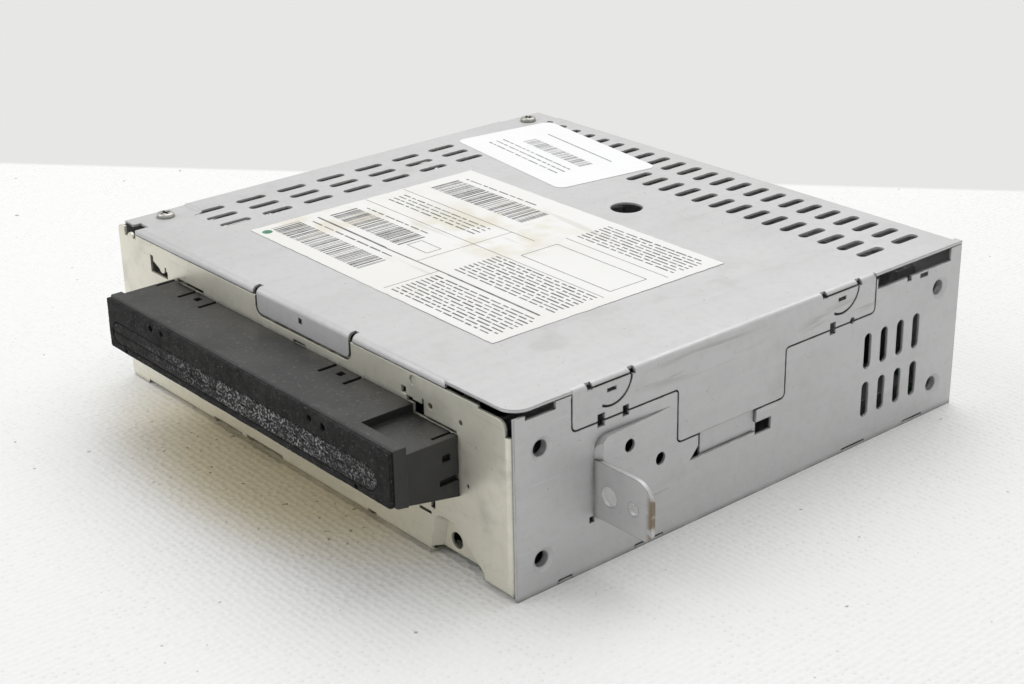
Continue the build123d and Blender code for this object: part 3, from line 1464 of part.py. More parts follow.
# Optical sled
def make_sled():
    z0 = deck_top + sled_low
    z1 = deck_top + sled_high
    y1 = sled_front + sled_length
    sled = block(-sled_half, sled_half, sled_front, y1, z0, z1)
    sled = fillet(sled.edges().filter_by(Axis.Z), metal)
    sled += block(sled_half - metal, screw_x + nut_half, sled_front + nut_length,
                  sled_front + 2 * nut_length, z0, z1)
    cuts = [rod_along_y(-rod_x, sled_front - 1.0, y1 + 1.0, rod_z, rod_radius + running_gap)]
    grip = rod_radius + fork_gap
    cuts.append(block(rod_x - grip, sled_half + 1.0, sled_front - 1.0, sled_front + nut_length - metal,
                      rod_z - grip, rod_z + grip))
    cuts.append(block(rod_x - grip, sled_half + 1.0, sled_front + 2 * nut_length + metal, y1 + 1.0,
                      rod_z - grip, rod_z + grip))
    cuts.append(rod_along_y(rod_x, sled_front - 1.0, y1 + 1.0, rod_z, grip))
    cuts.append(rod_along_y(screw_x, sled_front - 1.0, y1 + 1.0, rod_z, screw_radius + nut_gap))
    well = (lens_cover[0] + 3 * metal) / 2
    cuts.append(block(-well, well, lens_y - well, lens_y + well, z1 - metal, z1 + 1.0))
    return Pos(mech_x, 0, 0) * (sled - cuts)


def make_lens_parts():
    z0 = deck_top + sled_high - metal
    wide, long, high = lens_cover
    cover = block(-wide / 2, wide / 2, lens_y - long / 2, lens_y + long / 2, z0, z0 + high + metal / 2)
    cover -= rod_along_z(0, lens_y, z0 + metal / 2, z0 + 3.0, lens_radius + fit_gap)
    lens = rod_along_z(0, lens_y, z0 + metal / 2, z0 + high + metal, lens_radius)
    lens = fillet(edges_at(lens, Axis.Z, z0 + high + metal), metal / 2)
    return Pos(mech_x, 0, 0) * cover, Pos(mech_x, 0, 0) * lens


def make_rods():
    return [rod_along_y(mech_x + side * rod_x, rod_front, deck_rear, rod_z, rod_radius) for side in (-1, 1)]


def make_lead_screw():
    """A turned shaft with ring grooves in place of its thread."""
    start = rod_front + bearing_block + 2 * fit_gap
    end = feed_motor_front - fit_gap
    points = [(0, start - bearing_block), (screw_tip, start - bearing_block), (screw_tip, start)]
    grooves = int((end - start) / screw_pitch)
    for k in range(grooves):
        y = start + k * screw_pitch
        points += [(screw_radius, y + screw_pitch * 0.15), (screw_radius, y + screw_pitch * 0.6),
                   (screw_root, y + screw_pitch * 0.75), (screw_root, y + screw_pitch)]
    points += [(screw_tip, end), (0, end)]
    profile = outline(*points)
    body = revolve(profile, axis=Axis.Y)
    return Pos(mech_x + screw_x, 0, rod_z) * body


def make_feed_motor():
    can = rod_along_y(mech_x + screw_x, feed_motor_front, feed_motor_front + feed_motor_length, rod_z,
                      feed_motor_radius)
    end = feed_motor_front + feed_motor_length
    return chamfer(edges_at(can, Axis.Y, end), metal / 2)


# Shift slider
def make_slider():
    shape = rectangle(slider_front, slider_rear, slider_low, slider_high, 2 * metal)
    long = slider_travel + 2 * slider_stud_radius + 2 * clamp_gap
    wide = 2 * slider_stud_radius + 2 * clamp_gap
    for y in slider_studs_y:
        shape -= Pos(y - slider_travel / 2, slider_stud_z) * SlotOverall(long, wide)
    cam = Pos((slider_studs_y[0] + slider_studs_y[1]) / 2, slider_stud_z)
    shape -= cam * SlotOverall(slider_travel * 1.6, wide, rotation=20)
    x0 = mech_x + deck_half + slider_gap
    return along_x(shape, x0, x0 + metal)


# Main board and its parts
def make_board():
    shape = rectangle(mech_x - board_half, mech_x + board_half, board_front, board_rear, 2.0)
    for x, y in board_screw_places():
        shape -= Pos(x, y) * Circle(board_screw_radius + fit_gap)
    return along_z(shape, board_low, board_top)


def make_board_screws():
    screws = []
    for x, y in board_screw_places():
        screw = rod_along_z(x, y, board_top, board_top + board_screw_head_high, board_screw_head)
        screw += rod_along_z(x, y, 2 * sheet, board_top, board_screw_radius)
        screws.append(screw)
    return screws


def make_sink():
    back = inner_y
    front = back - sink_depth
    sink = block(sink_left, sink_right, front, back, board_top, sink_top)
    pitch = (sink_right - sink_left - sheet) / sink_fins
    for k in range(sink_fins + 1):
        x = sink_left + k * pitch
        sink += block(x, x + sheet, front - sink_fin, back, amp_top + 2 * metal, sink_top)
    return sink


def make_amp():
    front = inner_y - sink_depth
    chip = block(amp_left, amp_right, front - amp_depth, front, board_top + 2 * metal, amp_top)
    count = int((amp_right - amp_left) / (2 * metal)) - 1
    for k in range(count):
        x = amp_left + 1.5 * metal + 2 * metal * k
        chip += block(x - metal / 4, x + metal / 4, front - amp_depth / 2 - metal / 4,
                      front - amp_depth / 2 + metal / 4,
                      board_top, board_top + 3 * metal)
    return chip


def make_socket(socket):
    left, right, top = socket
    back = half_d + socket_proud
    shell = block(left, right, socket_front, back, board_top, top)
    return shell - block(left + socket_wall, right - socket_wall, back - socket_depth, back + 1.0,
                         board_top + socket_lift, top - socket_wall)


def make_contacts():
    pins = []
    back = half_d + socket_proud - socket_depth
    for left, right, top in (main_socket, aux_socket):
        low = board_top + socket_lift
        high = top - socket_wall
        count = int((right - left - 2 * socket_wall - contact_size) / contact_pitch)
        start = (left + right) / 2 - (count - 1) * contact_pitch / 2
        rows = (low + (high - low) / 3, low + (high - low) * 2 / 3)
        for k in range(count):
            x = start + k * contact_pitch
            for z in rows:
                pins.append(block(x - contact_size / 2, x + contact_size / 2, back, back + contact_length,
                                  z - contact_size / 2, z + contact_size / 2))
    return pins


def make_ribbon():
    """The flat cable: up from its socket, over, and flat under the deck."""
    x0, x1 = ribbon_x
    low = board_top + ribbon_socket_high
    high = deck_low - spring_end_gap - ribbon_thickness / 2
    path = FilletPolyline((ribbon_y, low), (ribbon_y, high), (ribbon_end, high), radius=ribbon_bend)
    assert path.length > 0
    half = ribbon_thickness / 2
    inner = ribbon_bend - half
    strip = rectangle(ribbon_y - half, ribbon_y + half, low, high - ribbon_bend)
    strip += rectangle(ribbon_y + ribbon_bend, ribbon_end, high - half, high + half)
    bend = Circle(ribbon_bend + half) - Circle(inner)
    quarter = rectangle(-ribbon_bend - half, 0, 0, ribbon_bend + half)
    strip += Pos(ribbon_y + ribbon_bend, high - ribbon_bend) * (bend & quarter)
    return along_x(Sketch() + strip, x0, x1)


def make_ribbon_socket():
    x0, x1 = ribbon_x
    return block(x0 - metal, x1 + metal, ribbon_y - ribbon_socket_half, ribbon_y + ribbon_socket_half,
                 board_top, board_top + ribbon_socket_high)


save("top_cover", make_top_cover())
side_frame = make_side_frame()
save("side_frame_right", side_frame + wall_rims())
save("side_frame_left", mirror(side_frame, about=Plane.YZ) + cover_screw_tabs() - wall_front_strip())
save("rear_panel", make_rear_panel())
save("front_plate", make_front_plate())
save("bottom_cover", make_bottom_cover())
save("slot_bezel", make_bezel())
save("slot_gasket", make_gasket())
save("felt_lip_upper", make_felt(True))
save("felt_lip_lower", make_felt(False))
rating_label, stock_sticker = make_labels()
save("rating_label", rating_label)
save("stock_sticker", stock_sticker)
save("cover_screws", Compound(cover_screws()))
save("mech_rail_left", make_rail(-1))
save("mech_rail_right", make_rail(1))
save("damper_bushes", Compound(make_dampers()))
save("suspension_springs", Compound(make_springs()))
save("float_deck", make_deck())
save("disc_guide", make_guide())
save("detect_lever_left", make_lever(-1))
save("detect_lever_right", make_lever(1))
roller_gear, idler_gear, reduction_gear, motor_pinion = make_gears()
save("roller_gear", roller_gear)
save("idler_gear", idler_gear)
save("reduction_gear", reduction_gear)
save("motor_pinion", motor_pinion)
save("loading_motor", make_loading_motor())
roller_shaft_piece, roller_sleeves = make_roller()
save("roller_shaft", roller_shaft_piece)
save("roller_sleeves", Compound(roller_sleeves))
save("roller_arm", make_roller_arm())
save("spindle_motor", make_spindle_motor())
save("turntable", make_turntable())
save("clamp_arm", make_clamp_arm())
clamper, clamper_pad = make_clamper()
save("clamper", clamper)
save("clamper_pad", clamper_pad)
save("pickup_sled", make_sled())
lens_cover_piece, objective_lens = make_lens_parts()
save("lens_cover", lens_cover_piece)
save("objective_lens", objective_lens)
save("guide_rods", Compound(make_rods()))
save("lead_screw", make_lead_screw())
save("feed_motor", make_feed_motor())
save("shift_slider", make_slider())
save("main_board", make_board())
save("board_screws", Compound(make_board_screws()))
save("signal_chips", Compound([block(x - w / 2, x + w / 2, y - d / 2, y + d / 2, board_top, board_top + h)
                               for x, y, w, d, h in chips]))
save("capacitors",
     Compound([rod_along_z(x, y, board_top, board_top + can_height, can_radius) for x, y in cans]))
save("heat_sink", make_sink())
save("amplifier_chip", make_amp())
save("main_connector", make_socket(main_socket))
save("aux_connector", make_socket(aux_socket))
save("connector_contacts", Compound(make_contacts()))
save("deck_ribbon", make_ribbon())
save("ribbon_socket", make_ribbon_socket())
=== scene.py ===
import math
import random

import bmesh
import bpy
from mathutils import Matrix, Vector, noise


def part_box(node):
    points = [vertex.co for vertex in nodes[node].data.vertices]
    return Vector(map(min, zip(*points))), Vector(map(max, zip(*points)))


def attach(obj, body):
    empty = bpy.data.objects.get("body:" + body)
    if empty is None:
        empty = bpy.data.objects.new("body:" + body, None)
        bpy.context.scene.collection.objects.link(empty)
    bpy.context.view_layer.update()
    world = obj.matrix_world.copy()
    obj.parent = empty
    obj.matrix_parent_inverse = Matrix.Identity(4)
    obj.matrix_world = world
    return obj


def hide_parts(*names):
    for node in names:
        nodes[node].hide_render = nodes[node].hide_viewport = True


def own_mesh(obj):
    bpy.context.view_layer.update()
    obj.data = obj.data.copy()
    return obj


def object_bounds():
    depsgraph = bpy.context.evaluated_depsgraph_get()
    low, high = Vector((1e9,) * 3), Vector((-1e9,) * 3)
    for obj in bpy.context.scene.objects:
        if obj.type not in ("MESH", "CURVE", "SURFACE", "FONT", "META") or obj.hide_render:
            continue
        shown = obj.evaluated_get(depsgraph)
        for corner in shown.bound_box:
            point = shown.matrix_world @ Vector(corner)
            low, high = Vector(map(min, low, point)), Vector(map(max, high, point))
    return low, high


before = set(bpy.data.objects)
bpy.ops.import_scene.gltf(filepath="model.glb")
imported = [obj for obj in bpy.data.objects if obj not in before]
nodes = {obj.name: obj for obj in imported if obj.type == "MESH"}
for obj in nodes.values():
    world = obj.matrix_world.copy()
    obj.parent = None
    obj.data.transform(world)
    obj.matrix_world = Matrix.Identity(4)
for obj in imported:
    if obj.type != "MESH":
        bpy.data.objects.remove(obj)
cadLow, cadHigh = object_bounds()
scene = bpy.context.scene
mm = 0.001  # the print's sizes are written in millimetres
mergeWithin = 0.000002  # metres, joins the loose triangles of a copied node
print("frame loaded,", len(nodes), "nodes")


# Camera, at the photograph's angle
cameraSet = {
    "eye": (0.37423, -0.31955, 0.22778),
    "right": (0.6475, 0.7618, -0.0193),
    "down": (0.29126, -0.27078, -0.91752),
    "forward": (-0.7042, 0.5885, -0.3972),
    "focal": 1840.05,  # in pixels of the image
    "image": (1024, 684),
    "sensor": 36.0,
}


def makeCamera(look):
    data = bpy.data.cameras.new("camera")
    data.sensor_width = look["sensor"]
    data.lens = look["sensor"] * look["focal"] / look["image"][0]
    camera = bpy.data.objects.new("camera", data)
    scene.collection.objects.link(camera)
    back = -Vector(look["forward"]).normalized()
    up = -Vector(look["down"])
    side = up.cross(back).normalized()
    turned = Matrix((side, back.cross(side), back)).transposed()
    camera.matrix_world = Matrix.Translation(look["eye"]) @ turned.to_4x4()
    scene.camera = camera


def onFloor(across, downwards):
    # The spot on the floor that one pixel of the image shows.
    width, height = cameraSet["image"]
    ray = Vector(cameraSet["forward"])
    ray += Vector(cameraSet["right"]) * ((across - width / 2) / cameraSet["focal"])
    ray += Vector(cameraSet["down"]) * ((downwards - height / 2) / cameraSet["focal"])
    eye = Vector(cameraSet["eye"])
    return eye - ray * (eye.z / ray.z)


makeCamera(cameraSet)
scene.view_settings.view_transform = "Standard"
print("camera placed")


# Helpers for node materials
def addNode(tree, kind, links=None, **settings):
    made = tree.nodes.new("ShaderNode" + kind)
    for name, value in settings.items():
        setattr(made, name, value)
    for name, value in (links or {}).items():
        joinSocket(tree, made.inputs[name], value)
    return made


def joinSocket(tree, socket, value):
    if isinstance(value, bpy.types.NodeSocket):
        tree.links.new(value, socket)
    elif isinstance(value, tuple) and len(value) == 3 and socket.type == "RGBA":
        socket.default_value = (*value, 1)
    else:
        socket.default_value = value


def mixColour(tree, share, first, second):
    made = addNode(tree, "Mix", data_type="RGBA")
    joinSocket(tree, made.inputs[0], share)
    joinSocket(tree, made.inputs[6], first)  # 6 and 7 are the two colours of a Mix node
    joinSocket(tree, made.inputs[7], second)
    return made.outputs[2]


def noiseOf(tree, place, scale, detail=2.0, rough=0.5):
    links = {"Vector": place, "Scale": scale, "Detail": detail, "Roughness": rough}
    return addNode(tree, "TexNoise", links).outputs["Fac"]


def spread(tree, value, low, high, first=0.0, last=1.0):
    links = {"Value": value, "From Min": low, "From Max": high, "To Min": first, "To Max": last}
    return addNode(tree, "MapRange", links, interpolation_type="SMOOTHSTEP").outputs["Result"]


def calc(tree, operation, first, second):
    made = addNode(tree, "Math", operation=operation)
    joinSocket(tree, made.inputs[0], first)
    joinSocket(tree, made.inputs[1], second)
    return made.outputs[0]


def vectorCalc(tree, operation, first, second=None):
    made = addNode(tree, "VectorMath", operation=operation)
    joinSocket(tree, made.inputs[0], first)
    if second is not None:
        joinSocket(tree, made.inputs[1], second)
    return made.outputs["Value" if operation in ("LENGTH", "DOT_PRODUCT") else "Vector"]


def stretched(tree, place, scale, turn=0.0):
    links = {"Vector": place, "Scale": scale, "Rotation": (0, 0, turn)}
    return addNode(tree, "Mapping", links).outputs[0]


def ownNormal(tree):
    return addNode(tree, "NewGeometry").outputs["Normal"]


# How every finish is built up; what differs from slot to slot is in finishLooks
finishSet = {
    "patchDetail": 4.0, "patchRough": 0.55, "patchRange": (0.35, 0.65),
    "grainDetail": 3.0, "grainRough": 0.6,
    "glossFiner": 2.3, "glossDetail": 5.0, "glossRange": (0.3, 0.7),
    "edgeRange": (0.98, 0.8), "edgeGapScale": 300.0, "edgeGapRange": (0.3, 0.6),
    "creviceShadeGapScale": 240.0, "creviceShadeGapDetail": 4.0, "creviceShadeGapRange": (0.25, 0.55, 0.55, 1.0),
    "upRange": (0.4, 0.9), "fadeRange": (1.0, 0.35), "samples": 6,
}


def nearTo(tree, place, middle, reach):
    # 1 round the middle, fading to 0 at the reach.
    apart = vectorCalc(tree, "SUBTRACT", place, middle)
    inReaches = vectorCalc(tree, "DIVIDE", apart, reach)
    return spread(tree, vectorCalc(tree, "LENGTH", inReaches), *finishSet["fadeRange"])


def withMarks(tree, place, colour, marks):
    for mark in marks:
        moved = stretched(tree, place, mark.get("stretch", (1, 1, 1)), mark.get("turn", 0.0))
        found = noiseOf(tree, moved, mark["scale"], mark.get("detail", 2.0))
        share = spread(tree, found, mark["from"], mark["to"], 0.0, mark["share"])
        if "upOnly" in mark:
            up = addNode(tree, "SeparateXYZ", {"Vector": ownNormal(tree)}).outputs["Z"]
            share = calc(tree, "MULTIPLY", share, spread(tree, up, *finishSet["upRange"]))
        if "around" in mark:
            share = calc(tree, "MULTIPLY", share, nearTo(tree, place, *mark["around"]))
        colour = mixColour(tree, share, colour, mark["colour"])
    return colour


def withWornEdges(tree, place, colour, edge):
    # The Bevel node's normal differs from the surface's own only near an edge.
    links = {"Radius": edge["radius"]}
    rounded = addNode(tree, "Bevel", links, samples=finishSet["samples"]).outputs[0]
    alike = vectorCalc(tree, "DOT_PRODUCT", rounded, ownNormal(tree))
    worn = spread(tree, alike, *finishSet["edgeRange"], 0.0, edge["share"])
    gaps = noiseOf(tree, place, finishSet["edgeGapScale"])
    worn = calc(tree, "MULTIPLY", worn, spread(tree, gaps, *finishSet["edgeGapRange"]))
    return mixColour(tree, worn, colour, edge["colour"]), rounded


# Painted shade: the colour darkens where the Ambient Occlusion node finds the surface closed in, in
# crevices, slots and recesses, broken up by noise.
def withCreviceShade(tree, place, colour, creviceShade):
    links = {"Distance": creviceShade["reach"]}
    opening = addNode(tree, "AmbientOcclusion", links, samples=finishSet["samples"]).outputs["AO"]
    share = spread(tree, opening, creviceShade["from"], creviceShade["to"], 0.0, creviceShade["share"])
    gaps = noiseOf(tree, place, finishSet["creviceShadeGapScale"], finishSet["creviceShadeGapDetail"])
    share = calc(tree, "MULTIPLY", share, spread(tree, gaps, *finishSet["creviceShadeGapRange"]))
    return mixColour(tree, share, colour, creviceShade["colour"])


def makeFinish(name, look):
    material = bpy.data.materials.new(name)
    material.use_nodes = True
    tree = material.node_tree
    shader = tree.nodes["Principled BSDF"]
    place = addNode(tree, "TexCoord").outputs["Object"]
    patches = noiseOf(tree, place, look["patch"], finishSet["patchDetail"], finishSet["patchRough"])
    share = spread(tree, patches, *finishSet["patchRange"])
    colour = mixColour(tree, share, look["tone"], look["shade"])
    colour = withMarks(tree, place, colour, look.get("marks", []))
    moved = stretched(tree, place, look.get("grainStretch", (1, 1, 1)))
    grain = noiseOf(tree, moved, look["grain"], finishSet["grainDetail"], finishSet["grainRough"])
    gloss = noiseOf(tree, place, look["patch"] * finishSet["glossFiner"], finishSet["glossDetail"])
    rough = spread(tree, gloss, *finishSet["glossRange"], *look["rough"])
    links = {"Height": grain, "Strength": look["bump"], "Distance": look["bumpDepth"]}
    if "edge" in look:
        colour, links["Normal"] = withWornEdges(tree, place, colour, look["edge"])
    # Painted shade in crevices and recesses, from the Ambient Occlusion node.
    if "creviceShade" in look:
        colour = withCreviceShade(tree, place, colour, look["creviceShade"])
    bump = addNode(tree, "Bump", links).outputs["Normal"]
    tree.links.new(colour, shader.inputs["Base Color"])
    tree.links.new(rough, shader.inputs["Roughness"])
    tree.links.new(bump, shader.inputs["Normal"])
    for socket, value in look.get("shader", {}).items():
        shader.inputs[socket].default_value = value
    return material


# Marks that lie all over several finishes
# Dust with painted sheen: upward faces made lighter, partly by real dust and partly by the sheen of
# grazing light.
dustAndSheen = {"scale": 900.0, "from": 0.58, "to": 0.72, "share": 0.25, "colour": (0.45, 0.44, 0.42),
        "upOnly": True}
grime = {"scale": 55.0, "detail": 6.0, "from": 0.6, "to": 0.78, "share": 0.16,
         "colour": (0.20, 0.19, 0.17)}
specks = {"scale": 1100.0, "detail": 1.0, "from": 0.76, "to": 0.80, "share": 0.55,
          "colour": (0.10, 0.09, 0.08)}
hairlines = {"scale": 60.0, "stretch": (1.0, 22.0, 22.0), "detail": 3.0, "from": 0.62, "to": 0.72,
             "share": 0.14, "colour": (0.30, 0.30, 0.31)}
crossLines = {"scale": 55.0, "stretch": (24.0, 1.2, 24.0), "turn": 0.5, "detail": 3.0,
              "from": 0.66, "to": 0.74, "share": 0.12, "colour": (0.85, 0.86, 0.88)}
mottle = {"scale": 420.0, "detail": 6.0, "from": 0.46, "to": 0.68, "share": 0.12,
          "colour": (0.38, 0.378, 0.37)}
rolled = {"scale": 240.0, "stretch": (1.0, 0.08, 1.0), "detail": 4.0, "from": 0.48, "to": 0.66,
          "share": 0.16, "colour": (0.45, 0.45, 0.45)}

# Marks on one spot of the case: around a middle, as far as a reach, both in metres
flangeRub = {"scale": 150.0, "stretch": (1.0, 0.25, 2.5), "detail": 5.0, "from": 0.46, "to": 0.64,
             "share": 0.8, "colour": (0.30, 0.285, 0.26),
             "around": ((0.0885, -0.0200, 0.0445), (0.02, 0.030, 0.0045))}
arcRub = {"scale": 110.0, "stretch": (1.0, 0.4, 3.0), "detail": 4.0, "from": 0.50, "to": 0.62,
          "share": 0.7, "colour": (0.30, 0.29, 0.27),
          "around": ((0.0885, 0.0300, 0.0400), (0.02, 0.020, 0.0065))}
earRust = {"scale": 330.0, "detail": 5.0, "from": 0.42, "to": 0.56, "share": 1.0,
           "colour": (0.22, 0.165, 0.105),
           "around": ((0.1095, -0.0560, 0.0200), (0.0034, 0.006, 0.022))}
oldGlue = {"scale": 90.0, "detail": 4.0, "from": 0.52, "to": 0.62, "share": 0.3,
           "colour": (0.42, 0.415, 0.40),
           "around": ((0.060, -0.005, 0.0494), (0.028, 0.045, 0.004))}

